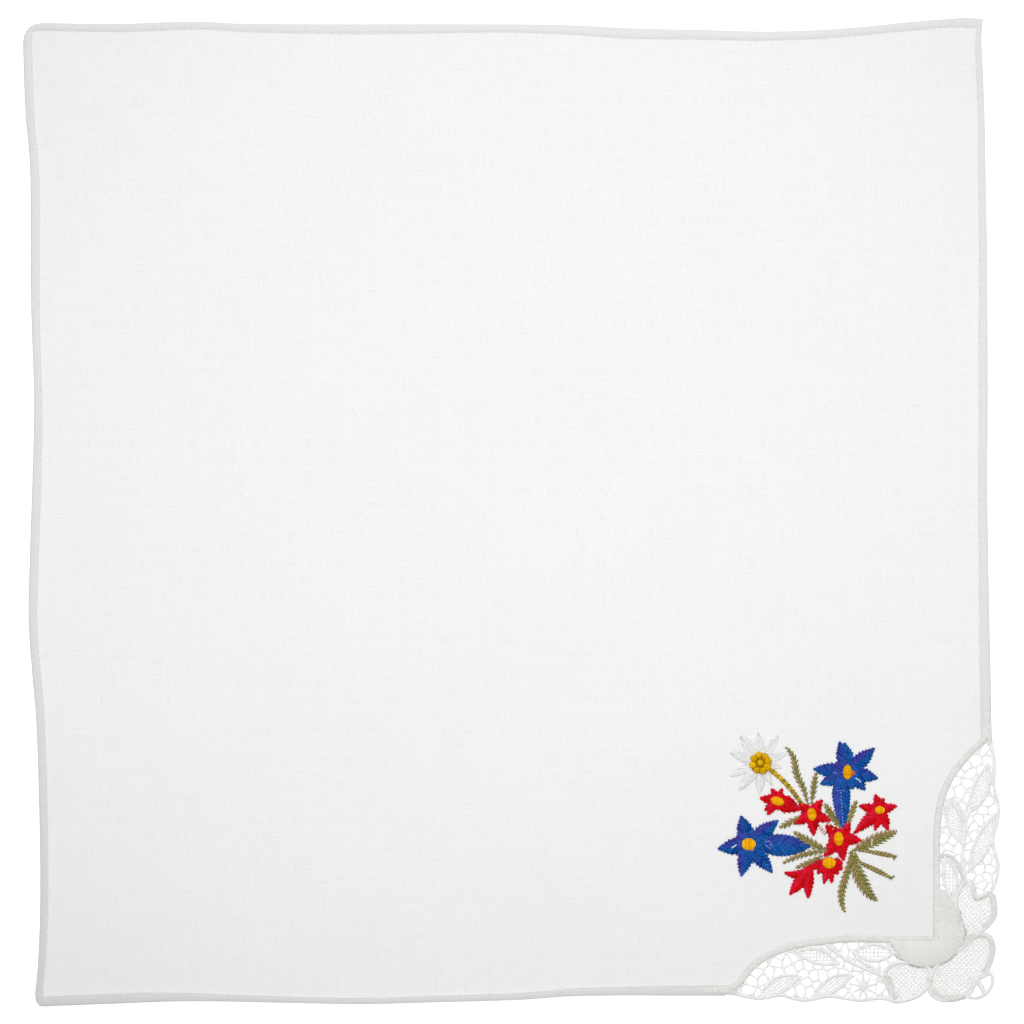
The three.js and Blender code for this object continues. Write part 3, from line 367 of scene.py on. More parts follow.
def underside(points):
    """Height of the cloth's underside: it lies in very slight waves, flatter near the edge."""
    away = np.minimum(distance_to(points, EDGE[::4]), distance_to(points, heading[::3], False))
    rise = np.clip(away / 38, 0, 1)
    rise = rise * rise * (3 - 2 * rise)
    swell = sum(np.sin(points @ ray(a) * math.tau / length + phase)
                for a, length, phase in WAVES) / len(WAVES)
    ripple = sum(np.sin(points[:, k] * math.tau / length + k)
                 for k, length in ((0, 23), (1, 27), (0, 37), (1, 41))) / 4
    near = np.exp(-(distance_to(points, BOUQUET_RING) / 7) ** 2)
    pucker = np.sin(points[:, 0] * math.tau / 5.3) * np.sin(points[:, 1] * math.tau / 6.1)
    return (0.1 + rise * (0.32 + 0.5 * swell) + (1 - rise) * 0.07 * (1 + ripple)
            + 0.03 * near * pucker)


GRID_STEP = 2.5
GRID_AXIS = np.arange(-150, 150 + GRID_STEP, GRID_STEP)
grid_xy = np.stack(np.meshgrid(GRID_AXIS, GRID_AXIS, indexing="ij"), axis=-1)
GRID = underside(grid_xy.reshape(-1, 2)).reshape(grid_xy.shape[:2])


def ground(points):
    """Height of the cloth's upper side under the stitches."""
    at = (np.atleast_2d(points) - GRID_AXIS[0]) / GRID_STEP
    low = np.clip(at.astype(int), 0, len(GRID_AXIS) - 2)
    i, j = low.T
    f, g = (at - low).T
    return ((1 - f) * (1 - g) * GRID[i, j] + f * (1 - g) * GRID[i + 1, j]
            + (1 - f) * g * GRID[i, j + 1] + f * g * GRID[i + 1, j + 1]) + CLOTH_THICK


# ---- meshes ------------------------------------------------------------------------------------


def make_piece(name, co, tris, material, tint, run=None):
    """One mesh object from points in millimetres, triangles, and a colour for each point."""
    mesh = bpy.data.meshes.new(name)
    co = np.array(co, float)
    co[:, :2] += SHIFT
    mesh.from_pydata((co * MM).tolist(), [], np.asarray(tris).tolist())
    mesh.polygons.foreach_set("use_smooth", np.ones(len(mesh.polygons), bool))
    colour = np.concatenate([np.asarray(tint, float), np.ones((len(co), 1))], axis=1)
    mesh.attributes.new("Tint", "FLOAT_COLOR", "POINT").data.foreach_set("color", colour.ravel())
    if run is not None:
        mesh.attributes.new("Run", "FLOAT_VECTOR", "POINT").data.foreach_set(
            "vector", np.asarray(run, float).ravel())
    mesh.materials.append(material)
    mesh.update()
    piece = bpy.data.objects.new(name, mesh)
    bpy.context.scene.collection.objects.link(piece)
    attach(piece, "root")
    return piece


@lru_cache(maxsize=None)
def tube_faces(count, sides, closed):
    """Triangles of a tube of count rings, with capped ends unless it is closed on itself."""
    faces = []
    for i in range(count if closed else count - 1):
        for k in range(sides):
            a, b = i * sides + k, i * sides + (k + 1) % sides
            c, d = (a + sides) % (count * sides), (b + sides) % (count * sides)
            faces += [(a, c, d), (a, d, b)]
    if not closed:
        first, last = count * sides, count * sides + 1
        base = (count - 1) * sides
        for k in range(sides):
            faces += [(first, k, (k + 1) % sides), (last, base + (k + 1) % sides, base + k)]
    return np.array(faces)


class Skein:
    """Lengths of thread gathered into one mesh."""

    def __init__(self):
        self.co, self.tris, self.tint, self.run = [], [], [], []
        self.count = 0

    def lay(self, path, wide, high, tint, sides=6, ends=0.45, closed=False):
        """A thread along the path: half width, half height, colour (one, or one a point)."""
        path = np.asarray(path, float)
        count = len(path)
        if closed:
            along = np.roll(path, -1, axis=0) - np.roll(path, 1, axis=0)
        else:
            along = np.gradient(path, axis=0)
        step = np.linalg.norm(along, axis=1)[:, None]
        along = along / step
        side = np.cross(UP, along)
        side /= np.maximum(np.linalg.norm(side, axis=1), 1e-6)[:, None]
        up = np.cross(along, side)
        narrow = np.ones(count)
        if not closed:
            narrow[[0, -1]] = ends
        angle = math.tau * np.arange(sides) / sides
        across = side[:, None] * (np.cos(angle) * (wide * narrow)[:, None])[..., None]
        upward = up[:, None] * (np.sin(angle) * (high * narrow)[:, None])[..., None]
        ring = (path[:, None] + across + upward).reshape(-1, 3)
        length = np.concatenate([[0], np.cumsum(np.linalg.norm(np.diff(path, axis=0), axis=1))])
        run = np.stack([np.repeat(length, sides), np.tile(angle / math.tau, count),
                        np.full(count * sides, rng.random())], axis=1)
        colour = np.repeat(np.broadcast_to(tint, (count, 3)), sides, axis=0)
        if not closed:
            ring = np.vstack([ring, path[:1], path[-1:]])
            run = np.vstack([run, run[:1], run[-1:]])
            colour = np.vstack([colour, colour[:1], colour[-1:]])
        self.co.append(ring)
        self.run.append(run)
        self.tint.append(colour)
        self.tris.append(tube_faces(count, sides, closed) + self.count)
        self.count += len(ring)

    def piece(self, name, material):
        return make_piece(name, np.vstack(self.co), np.vstack(self.tris), material,
                          np.vstack(self.tint), np.vstack(self.run))


def shade(thread, mix=None, spread=0.08):
    """A colour of that thread for one stitch."""
    dark, light = THREADS[thread] if isinstance(thread, str) else thread
    mix = rng.random() if mix is None else mix
    return (dark + (light - dark) * mix) * (1 + rng.uniform(-spread, spread))


ARCH = np.array([0.0, 0.1, 0.35, 0.65, 0.9, 1.0])


def stitch(skein, start, end, low, lift, tint, wide=0.19, high=0.13, low_end=None):
    """One stitch from start to end, of one shade or two. Both its ends dive into the cloth."""
    start, end, tint = (np.asarray(value, float) for value in (start, end, tint))
    low_end = low if low_end is None else low_end
    flat = start + (end - start) * ARCH[:, None]
    base = low + (low_end - low) * ARCH
    rise = np.sin(math.pi * ARCH) ** 0.6 * lift
    rise[[0, -1]] = -0.1
    if tint.ndim == 2:
        tint = tint[0] + (tint[1] - tint[0]) * ARCH[:, None]
    skein.lay(at_height(flat, base + rise), wide, high, tint, sides=5)


# ---- stitch patterns ---------------------------------------------------------------------------


MID_BELLY = 0.5


def leaf_shape(leaf, taper=None, spine=None, sharp=0.8):
    """Middle line, half width and left normal of a leaf, as functions of t from root to tip."""
    x, y, tx, ty, w, bend, belly = (*leaf, MID_BELLY)[:7]
    if spine is None:
        root, along = np.array([x, y], float), np.array([tx - x, ty - y], float)
        normal = left_of(along) / np.linalg.norm(along)
        t = np.linspace(0, 1, 25)[:, None]
        line = root + t * along + 4 * t * (1 - t) * bend * normal
    else:
        line = smooth(spine, 0.4)
    travel = np.concatenate([[0], np.cumsum(np.linalg.norm(np.diff(line, axis=0), axis=1))])
    length = travel[-1]
    slope = np.gradient(line, axis=0)
    slope /= np.linalg.norm(slope, axis=1)[:, None]
    power = math.log(0.5) / math.log(belly)

    def pick(table, t):
        s = np.clip(t, 0, 1) * length
        return np.stack([np.interp(s, travel, table[:, k]) for k in (0, 1)], axis=-1)

    def at(t):
        return pick(line, t)

    def half(t):
        t = np.clip(t, 0, 1)
        if taper is not None:
            return w / 2 + (taper - w) / 2 * t**2.3
        return np.maximum(w / 2 * np.sin(math.pi * t**power) ** sharp, 0.15)

    def across(t):
        return left_of(pick(slope, t))

    return at, half, across, length


def pad(skein, shape, origin, low, high, tint, share=0.86):
    """Padding under the stitches, so that no cloth shows between them."""
    at, half, across, length = shape
    t = np.linspace(0.03, 0.97, max(6, round(length / 0.9)))
    flat = at(t) + origin
    skein.lay(at_height(flat, low(flat)), half(t) * share, high, tint, sides=8, ends=0.6)


def disc(skein, centre, rx, ry, turn, low, high, tint):
    """A low round mound under stitches."""
    line = np.linspace(-0.95, 0.95, 9)
    bulge = np.sqrt(1 - line**2)
    path = centre + line[:, None] * ry * left_of(ray(math.radians(turn)))
    skein.lay(at_height(path, low), rx * bulge, high * bulge**0.5, tint, sides=10, ends=1.0)


def fishbone(skein, shape, origin, low, colour, pitch=0.34, lead=0.9, tooth=0.34, every=3,
             lift=0.2, wide=0.2, from_t=-0.05, cross=0.1):
    """Stitches that slant from the edges down to the middle line; the longest make teeth."""
    at, half, across, length = shape
    count = max(4, round(length * (1 - from_t) / pitch))
    for k in range(count):
        for side in (1, -1):
            t = from_t + (1 - from_t) * (k + 0.5 + 0.25 * side) / count
            out = min(max(t + lead * float(half(t)) / length, 0), 1)
            phase = ((k + (side > 0)) % every) / (every - 1) - 0.4
            reach = float(half(out)) * 0.94 + tooth * phase + rng.uniform(-0.04, 0.04)
            outward = side * across(out)
            inner = at(t) - side * cross * across(t) + origin
            outer = at(out) + max(reach, 0.08) * outward + origin
            base = low(np.array([inner, outer]))
            stitch(skein, outer, inner, base[1], lift + rng.uniform(-0.03, 0.03),
                   colour(t, outward, k), wide * rng.uniform(0.9, 1.1), low_end=base[0] + 0.1)


def grain(skein, shape, origin, low, colour, lift, lead=0.9):
    """Short stitches worked here and there over the long ones."""
    at, half, across, length = shape
    for k in range(round(length * float(half(0.5)) * 2.6)):
        t, s = rng.uniform(0.1, 0.92), rng.uniform(-0.8, 0.8)
        normal = across(t)
        forward = -left_of(normal)
        way = normal * np.sign(s) + forward * (lead + rng.uniform(-0.3, 0.3))
        way *= rng.uniform(0.3, 0.5) / np.linalg.norm(way)
        middle = at(t) + normal * s * half(t) + origin
        base = low(middle[None])[0] + lift * (1 - 0.5 * abs(s))
        tint = colour(t, normal * np.sign(s), k) * rng.uniform(0.72, 1.35)
        stitch(skein, middle + way, middle - way, base, 0.12, tint, 0.17, 0.1)


def satin(skein, shape, origin, low, colour, pitch=0.5, slant=0.5, lift=0.2, wide=0.24):
    """A band of slanting stitches, each from one edge to the other."""
    at, half, across, length = shape
    count = max(3, round(length / pitch))
    for k in range(count):
        t = (k + 0.5) / count
        ahead, behind = min(t + slant / length, 1), max(t - slant / length, 0)
        reach = max(float(half(t)), 0.4) + rng.uniform(-0.08, 0.14)
        one = at(ahead) + across(ahead) * reach + origin
        two = at(behind) - across(behind) * reach + origin
        base = low(np.array([one, two]))
        stitch(skein, one, two, base[0], lift, colour(t, across(t), k), wide, low_end=base[1])


HEART_PITCH = 0.36


def heart(skein, centre, radius, low, colour):
    """The filled middle of a flower: stitches fan out from the eye."""
    # The disc under the heart is coloured darker than its stitches: painted shade between them.
    disc(skein, centre, radius * 0.9, radius * 0.9, 0, float(low(centre[None])[0]), 0.16,
         colour(0.1, np.zeros(2), 0)[1] * 0.8)
    for k in range(round(math.tau * radius / HEART_PITCH)):
        way = ray((k + rng.uniform(-0.2, 0.2)) * HEART_PITCH / radius)
        outer = centre + way * radius * rng.uniform(0.9, 1.03)
        inner = centre + way * radius * 0.3
        base = low(np.array([outer, inner]))
        stitch(skein, outer, inner, base[0], 0.16, colour(0.3, way, k), 0.2, low_end=base[1] + 0.1)


def dome(skein, centre, rx, ry, turn, low, high, tint, angle=0.0, pitch=0.3, wide=0.18):
    """A padded oval of satin stitches, laid across it at the given angle."""
    long_way = ray(math.radians(turn))
    axes = np.array([long_way, left_of(long_way)])
    disc(skein, centre, rx * 0.93, ry * 0.93, turn, low, high * 0.75, tint())
    direction = ray(math.radians(angle))
    normal = left_of(direction)
    reach = 1 / math.hypot(*(axes @ direction / (rx, ry)))
    span = math.hypot(*(axes @ normal * (rx, ry)))
    for offset in np.arange(-span + pitch / 2, span, pitch):
        d = axes @ direction / (rx, ry)
        o = axes @ normal * offset / (rx, ry)
        qa, qb, qc = d @ d, 2 * d @ o, o @ o - 1
        root = qb * qb - 4 * qa * qc
        if root <= 0:
            continue
        first = (-qb - math.sqrt(root)) / (2 * qa)
        last = (-qb + math.sqrt(root)) / (2 * qa)
        share = (last - first) / (2 * reach)
        one, two = (centre + normal * offset + direction * t for t in (first - 0.08, last + 0.08))
        stitch(skein, one, two, low, high * (0.4 + 0.6 * share), tint(), wide)


def knot(skein, centre, low, radius, tint):
    """A French knot: thread wound twice and pulled tight."""
    thick = radius * 0.42
    for level, ring in enumerate((radius - thick, (radius - thick) * 0.72)):
        angle = np.linspace(0, math.tau, 10)[:-1] + rng.uniform(0, 1)
        loop = np.stack([centre[0] + ring * np.cos(angle), centre[1] + ring * np.sin(angle),
                         low + thick * (0.6 + 1.1 * level) + 0.08 * np.sin(angle)], axis=1)
        skein.lay(loop, thick, thick, tint * rng.uniform(0.9, 1.08), sides=6, closed=True)
    middle = np.array([[-0.2, -0.1, 0], [0.0, 0.0, 0.12], [0.2, 0.1, 0]]) * radius
    skein.lay(middle + [*centre, low + thick * 2.0], thick, thick, tint * 0.92, sides=6)


def cord(skein, path, half, low, high, tint, pitch=0.38, closed=False, core=0.8):
    """A core whipped all the way with short slanting stitches."""
    points, direction = even(path, pitch, closed)
    rough, _ = even(path, 1.0, closed)
    skein.lay(at_height(rough, low + high * 0.45), half * core, high * 0.5, tint(), sides=6,
              closed=closed)
    for p, d in zip(points, direction):
        n = left_of(d) * half * rng.uniform(0.94, 1.08)
        stitch(skein, p + n - d * 0.12, p - n + d * 0.12, low, high * rng.uniform(0.92, 1.04),
               tint(), wide=pitch * 0.56, high=0.12)


# ---- materials -----------------------------------------------------------------------------------


def plug(tree, socket, value):
    if isinstance(value, bpy.types.NodeSocket):
        tree.links.new(value, socket)
    else:
        socket.default_value = value


def calc(tree, operation, *values):
    made = tree.nodes.new("ShaderNodeMath")
    made.operation = operation
    for socket, value in zip(made.inputs, values):
        plug(tree, socket, value)
    return made.outputs[0]


def vector_calc(tree, operation, a, b):
    made = tree.nodes.new("ShaderNodeVectorMath")
    made.operation = operation
    plug(tree, made.inputs[3 if operation == "SCALE" and not isinstance(b, tuple) else 1], b)
    plug(tree, made.inputs[0], a)
    return made.outputs[0]


def noise(tree, vector, stretch, detail=2.0, rough=0.5):
    made = tree.nodes.new("ShaderNodeTexNoise")
    plug(tree, made.inputs["Vector"], vector_calc(tree, "MULTIPLY", vector, stretch))
    made.inputs["Scale"].default_value = 1.0
    made.inputs["Detail"].default_value = detail
    made.inputs["Roughness"].default_value = rough
    return made.outputs[0]


def ramp(tree, value, low, high):
    made = tree.nodes.new("ShaderNodeMapRange")
    plug(tree, made.inputs[0], value)
    made.inputs[1].default_value = low
    made.inputs[2].default_value = high
    return made.outputs[0]


def wave(tree, value, period):
    """A wave from 0 to 1 along the value."""
    turns = calc(tree, "MULTIPLY", value, math.tau / period)
    return calc(tree, "MULTIPLY_ADD", calc(tree, "SINE", turns), 0.5, 0.5)


def bump(tree, height, strength, distance):
    made = tree.nodes.new("ShaderNodeBump")
    made.inputs["Strength"].default_value = strength
    made.inputs["Distance"].default_value = distance
    plug(tree, made.inputs["Height"], height)
    return made.outputs[0]


def attribute(tree, name):
    made = tree.nodes.new("ShaderNodeAttribute")
    made.attribute_name = name
    return made


def new_material(name, roughness, specular, sheen):
    material = bpy.data.materials.new(name)
    material.use_nodes = True
    shader = material.node_tree.nodes["Principled BSDF"]
    shader.inputs["Roughness"].default_value = roughness
    shader.inputs["Specular IOR Level"].default_value = specular
    shader.inputs["Sheen Weight"].default_value = sheen
    shader.inputs["Sheen Roughness"].default_value = 0.5
    return material, material.node_tree, shader


WEAVE_PITCH = 0.34 * MM
WANDER = 0.9 * MM
STREAK = 0.045
SLUB = 0.035
CLOUD = 0.02


def batiste_material():
    """Plain weave with uneven threads, faint streaks both ways and a few slubs."""
    material, tree, shader = new_material("batiste", 0.9, 0.15, 0.08)
    coords = tree.nodes.new("ShaderNodeTexCoord").outputs["Object"]
    drift = noise(tree, coords, (260, 260, 260), 1.0)
    parts = tree.nodes.new("ShaderNodeSeparateXYZ")
    plug(tree, parts.inputs[0], coords)
    wander = calc(tree, "MULTIPLY_ADD", drift, WANDER, -WANDER / 2)
    warp = wave(tree, calc(tree, "ADD", parts.outputs[0], wander), 2 * WEAVE_PITCH)
    weft = wave(tree, calc(tree, "ADD", parts.outputs[1], wander), 2 * WEAVE_PITCH)
    both = calc(tree, "MULTIPLY", warp, weft)
    weave = calc(tree, "SUBTRACT", calc(tree, "ADD", warp, weft), calc(tree, "MULTIPLY", both, 2.0))
    across = noise(tree, coords, (22, 2100, 22))
    upright = noise(tree, coords, (1900, 26, 26))
    slub_across = ramp(tree, noise(tree, coords, (210, 2300, 60), 0.0), 0.66, 0.74)
    slub_upright = ramp(tree, noise(tree, coords, (2300, 230, 60), 0.0), 0.66, 0.74)
    blotch = noise(tree, coords, (45, 45, 45), 3.0)
    streaks = calc(tree, "ADD", calc(tree, "MULTIPLY_ADD", across, STREAK, -STREAK / 2),
                   calc(tree, "MULTIPLY_ADD", upright, STREAK, -STREAK / 2))
    slubs = calc(tree, "MULTIPLY", calc(tree, "MAXIMUM", slub_across, slub_upright), -SLUB)
    cloud = calc(tree, "MULTIPLY_ADD", blotch, CLOUD, 1 - CLOUD / 2)
    factor = calc(tree, "ADD", calc(tree, "ADD", streaks, slubs), cloud)
    plug(tree, shader.inputs["Base Color"],
         vector_calc(tree, "SCALE", attribute(tree, "Tint").outputs["Color"], factor))
    height = calc(tree, "ADD", weave, calc(tree, "ADD", across, upright))
    plug(tree, shader.inputs["Normal"], bump(tree, height, 0.3, 0.06 * MM))
    return material


def thread_material(name, roughness, specular, sheen, ply, ply_painted_shade, relief):
    """Twisted thread: ply marks round it and fibre noise along it, each as a bump and also in the
    colour, darker where the bump sinks: painted shade in the grooves and painted highlight on the
    crowns; the fibre noise is also a random tone along it.
    """
    material, tree, shader = new_material(name, roughness, specular, sheen)
    coords = tree.nodes.new("ShaderNodeTexCoord").outputs["Object"]
    parts = tree.nodes.new("ShaderNodeSeparateXYZ")
    plug(tree, parts.inputs[0], attribute(tree, "Run").outputs["Vector"])
    twist = calc(tree, "ADD", calc(tree, "DIVIDE", parts.outputs[0], ply), parts.outputs[1])
    plies = wave(tree, calc(tree, "ADD", twist, parts.outputs[2]), 1.0)
    fibre = noise(tree, coords, (1500, 1500, 1500), 2.0)
    # painted shade and highlight: the colour follows the bump height of the plies and the fibres
    factor = calc(tree, "ADD", calc(tree, "MULTIPLY_ADD", plies, ply_painted_shade, 1 - ply_painted_shade / 2),
                  calc(tree, "MULTIPLY_ADD", fibre, 0.24, -0.12))
    plug(tree, shader.inputs["Base Color"],
         vector_calc(tree, "SCALE", attribute(tree, "Tint").outputs["Color"], factor))
    height = calc(tree, "ADD", plies, calc(tree, "MULTIPLY", fibre, 0.6))
    plug(tree, shader.inputs["Normal"], bump(tree, height, relief, 0.05 * MM))
    return material


batiste = batiste_material()
guipure = thread_material("guipure_thread", 0.85, 0.1, 0.3, 0.6, 0.03, 0.2)
silk = {name: thread_material(name + "_thread", 0.5, 0.05, 0.0, 0.68,
                              0.14 if name == "silver" else 0.45, 0.45) for name in THREADS}

# ---- the cloth --------------------------------------------------------------------------------

# Rows of points follow the edge at these distances in from it.
LOOP_INSETS = (0.0, 0.35, 1.3, 2.35, HEM_WIDTH, 3.1)
# The fold's section: distance in from the edge, thickness.
HEM_SECTION = [(0, 0.6), (0.35, 0.69), (1.3, HEM_THICK), (2.3, HEM_THICK * 0.97),
               (HEM_WIDTH + 0.05, CLOTH_THICK), (3.1, CLOTH_THICK)]
INNER_STEP = 2.0
CLOTH_TONE = lin(245, 245.5, 245)
# The folded hem is coloured darker than the single cloth: painted shade of its thicker fold.
HEM_PAINTED_SHADE = 0.86


def cloth_mesh():
    """Points of the cloth in the plane, how deep in from the edge each lies, and triangles."""
    points, edges, insets = [], [], []
    for inset in LOOP_INSETS:
        loop = outline(inset)
        keep = ~inside(loop, NOTCH)
        first = int(np.argmax(keep & ~np.roll(keep, 1)))
        loop, keep = np.roll(loop, -first, axis=0), np.roll(keep, -first)
        loop = loop[keep]
        start = len(points)
        points += list(loop)
        insets += [inset] * len(loop)
        edges += [(start + i, start + i + 1) for i in range(len(loop) - 1)]
        if inset == 0:
            outer = loop
    seam, along = even(heading[::-1], 0.7)
    start, count = len(points), len(outer)
    points += list(seam)
    edges += [(start + i, start + i + 1) for i in range(len(seam) - 1)]
    edges += [(count - 1, start), (start + len(seam) - 1, 0)]
    region = np.vstack([outer, seam])
    axis = np.arange(-SQUARE_HALF, SQUARE_HALF, INNER_STEP)
    inner = np.stack(np.meshgrid(axis, axis, indexing="ij"), axis=-1).reshape(-1, 2)
    inner = inner + rng.uniform(-0.15, 0.15, inner.shape)
    inner = inner[inside(inner, outline(LOOP_INSETS[-1] + 0.8)) & ~inside(inner, NOTCH)
                  & (distance_to(inner, heading, False) > 1.2)]
    # A narrow strip keeps the turn from top to cut edge under the lace's heading.
    strip = seam[4:-4] + left_of(along[4:-4]) * 0.12
    inner = np.vstack([inner, strip])
    insets += list(distance_to(seam, EDGE) / hem_share_at(seam)) + [2 * HEM_WIDTH] * len(inner)
    points = np.vstack([np.array(points), inner])
    made = delaunay_2d_cdt([Vector(p) for p in points], edges, [], 0, 1e-5)
    flat = np.array([tuple(v) for v in made[0]])
    deep = np.array([insets[sources[0]] if sources else 0 for sources in made[3]])
    tris = np.array(made[2])
    middles = flat[tris].mean(axis=1)
    tris = tris[inside(middles, region)]
    used, tris = np.unique(tris, return_inverse=True)
    return flat[used], deep[used], tris.reshape(-1, 3)


def make_cloth():
    flat, deep, tris = cloth_mesh()
    low = underside(flat)
    top = low + np.interp(deep, *np.array(HEM_SECTION).T)
    count = len(flat)
    # Every triangle runs counterclockwise, seen from above.
    a, b, c = (flat[tris[:, k]] for k in range(3))
    turned = (left_of(b - a) * (c - a)).sum(axis=1) < 0
    tris[turned] = tris[turned][:, ::-1]
    sides = np.vstack([tris[:, [0, 1]], tris[:, [1, 2]], tris[:, [2, 0]]])
    known = {(i, j) for i, j in sides.tolist()}
    rim = [(i, j) for i, j in known if (j, i) not in known]
    walls = [(i, i + count, j) for i, j in rim] + [(j, i + count, j + count) for i, j in rim]
    faces = np.vstack([tris, tris[:, ::-1] + count, walls])
    co = np.vstack([at_height(flat, top), at_height(flat, low)])
    hem = np.interp(deep, (0, HEM_WIDTH - 0.3, HEM_WIDTH + 0.1), (1, 1, 0))
    across, rising = flat.T / SQUARE_HALF
    # painted shade: the cloth's colour darkens towards the corners and the bottom edge, standing in
    # for light that falls off there
    painted_falloff = 0.036 * np.clip(across**2 + rising**2 - 1, 0, 1)
    painted_falloff += 0.032 * np.clip(-rising, 0, 1) ** 1.5
    # painted shade on the hem: darker than the cloth, and lighter towards the top and the right as
    # the light falls
    tone = 1 - painted_falloff + (HEM_PAINTED_SHADE + 0.03 * rising + 0.01 * across - 1) * hem
    tint = np.tile(tone[:, None] * CLOTH_TONE, (2, 1))
    return make_piece("batiste_square", co, faces, batiste, tint)


cloth = make_cloth()
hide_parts("cloth")


HEM_SEAM = 2.45
HEM_PITCH = 2.05


def hem_stitches():
    """The line of small running stitches that holds the hem down."""
    skein = Skein()
    points, direction = even(outline(HEM_SEAM), HEM_PITCH, closed=True)
    for p, d in zip(points, direction):
        if inside(p[None], NOTCH)[0]:
            continue
        n = left_of(d) * rng.uniform(-0.04, 0.04)
        base = underside(p[None])[0] + HEM_THICK * 0.86
        stitch(skein, p - d * 0.8 + n, p + d * 0.8 - n, base, 0.05, CLOTH_TONE * 0.92, 0.1, 0.07)
    piece = skein.piece("hem_stitches", guipure)
    return piece


# ---- the lace -----------------------------------------------------------------------------------

# Places where the cord round a big panel is worked double: points and half width.
HEAVY_CORDS = [
    ([(8.4, -1.8), (11.6, 0.5), (15.4, 0.6), (17.0, -2.4), (16.2, -6.6), (14.6, -9.8)], 0.85),
    ([(-1.4, -11.4), (-0.9, -14.8), (1.6, -17.0), (5.2, -17.6), (8.6, -16.8)], 0.95),
    ([(-14.6, -10.6), (-13.2, -12.8), (-12.5, -15.2), (-11.4, -17.4)], 1.1),
    ([(11.3, 14.6), (12.2, 11.4), (14.2, 12.2), (16.6, 13.2)], 0.75),
    ([(16.8, 12.4), (17.4, 9.2), (17.0, 6.0), (14.4, 3.2)], 0.95),
    ([(1.4, 23.6), (3.4, 24.0), (5.6, 23.0), (7.4, 20.2), (8.7, 16.4)], 0.6),
    ([(15.8, 61.6), (15.9, 59.2), (16.2, 56.4)], 0.8),
    ([(-62.0, -15.5), (-59.0, -15.6), (-57.0, -16.0)], 0.8),
]


def white():
    return shade(LACE_THREAD, spread=0.015)


# Painted shade: the dense parts take the darker copy of the white thread.
def dense_white_painted_shade():
    return shade(SATIN_THREAD_PAINTED_SHADE, spread=0.02)


def leaf_outline(shape, margin=0.0):
    """Closed outline of a lace leaf, widened by the margin."""
    at, half, across, length = shape
    t = np.linspace(0, 1, 18)
    left = at(t) + across(t) * (half(t) + margin)[:, None]
    right = at(t) - across(t) * (half(t) + margin)[:, None]
    return np.vstack([right, left[::-1]]) + LACE_ORIGIN


def net(skein, polygon, pitch, angle, wide=0.2):
    """Crossed threads that fill a closed shape."""
    for turn in (angle, angle + 90):
        along = ray(math.radians(turn))
        normal = left_of(along)
        offsets, reach = polygon @ normal, polygon @ along
        for row, offset in enumerate(np.arange(offsets.min() + pitch / 2, offsets.max(), pitch)):
            s = np.arange(reach.min(), reach.max(), pitch / 2)
            wobble = rng.uniform(-0.09, 0.09, len(s))
            points = s[:, None] * along + (offset + wobble)[:, None] * normal
            within = inside(points, polygon).astype(int)
            marks = np.flatnonzero(np.diff(np.concatenate([[0], within, [0]])))
            for first, last in zip(marks[::2], marks[1::2]):
                if last - first < 2:
                    continue
                turns = np.arange(first, last) + row + (turn > angle)
                z = LACE_MID + 0.05 * np.cos(math.pi * turns)
                skein.lay(at_height(points[first:last], z), wide * rng.uniform(0.85, 1.15),
                          wide * 0.4, white(), sides=6, ends=0.8)


def lace_curve(points, closed=False, step=0.5):
    """Smooth curve through points given from the lace's own corner."""
    return smooth(np.array(points) + LACE_ORIGIN, step, closed)


HEADING_PITCH = 0.32


def heading_piece():
    """The dense band that joins lace and cloth. Its two ends run a little way over the hem."""
    skein = Skein()
    upright = [(15.1, 67.0), (15.1, 64.0), (15.1, 60.6)] + HEADING_UPRIGHT[1:]
    level = HEADING_LEVEL[:-1] + [(-59.6, -14.6), (-63.0, -15.1), (-67.0, -15.4)]
    path = np.vstack([lace_curve(upright, step=0.7), [np.array(HEADING_CORNER) + LACE_ORIGIN],
                      lace_curve(level, step=0.7)])
    points, direction = even(path, HEADING_PITCH)
    rough, _ = even(path, 1.2)
    skein.lay(at_height(rough, 0.75), HEADING_WIDTH * 0.46, 0.24, SATIN_THREAD_PAINTED_SHADE[0], sides=8)
    for p, d, n in zip(points, direction, left_of(direction)):
        half = HEADING_WIDTH / 2 * rng.uniform(0.96, 1.04)
        stitch(skein, p + n * half - d * 0.08, p - n * half + d * 0.08, 0.74,
               0.22 * rng.uniform(0.95, 1.05), dense_white_painted_shade(), 0.2, 0.11)
    return skein


SATIN_STITCHES = 130


def satin_piece():
    """The filled corner, in one fan of stitches, and the spider's middle."""
    skein = Skein()
    lines = [lace_curve(points, step=0.05) for points in (SATIN_INNER, SATIN_OUTER)]
    one, two = (line[np.linspace(0, len(line) - 1, SATIN_STITCHES).round().astype(int)]
                for line in lines)
    middle = (one + two)[::6] / 2
    spread = np.linalg.norm(two - one, axis=1)[::6]
    skein.lay(at_height(middle, 0.72), spread / 2, 0.3, SATIN_THREAD_PAINTED_SHADE[0], sides=10)
    for a, b in zip(one, two):
        stitch(skein, a, b + (b - a) / np.linalg.norm(b - a) * rng.uniform(-0.08, 0.08), 0.9, 0.22,
               dense_white_painted_shade(), 0.24, 0.12, low_end=0.88)
    dome(skein, LACE_ORIGIN + SPIDER["at"], SPIDER["disc"], SPIDER["disc"], 0, 0.6, 0.4, white,
         angle=20)
    return skein


# Cords of the lace: height of the underside, height of the cord.
CORD_LOW = 0.6
CORD_HIGH = 0.28
# Plain open cords, in the order they are worked, with their half width.
OPEN_CORDS = ([(row, 0.5) for row in LOOPS] + [(LOOP_BAR, 0.75)]
              + [(row, 0.52) for row in OUTER_CORDS] + [(row, 0.55) for row in STEM_CORDS])


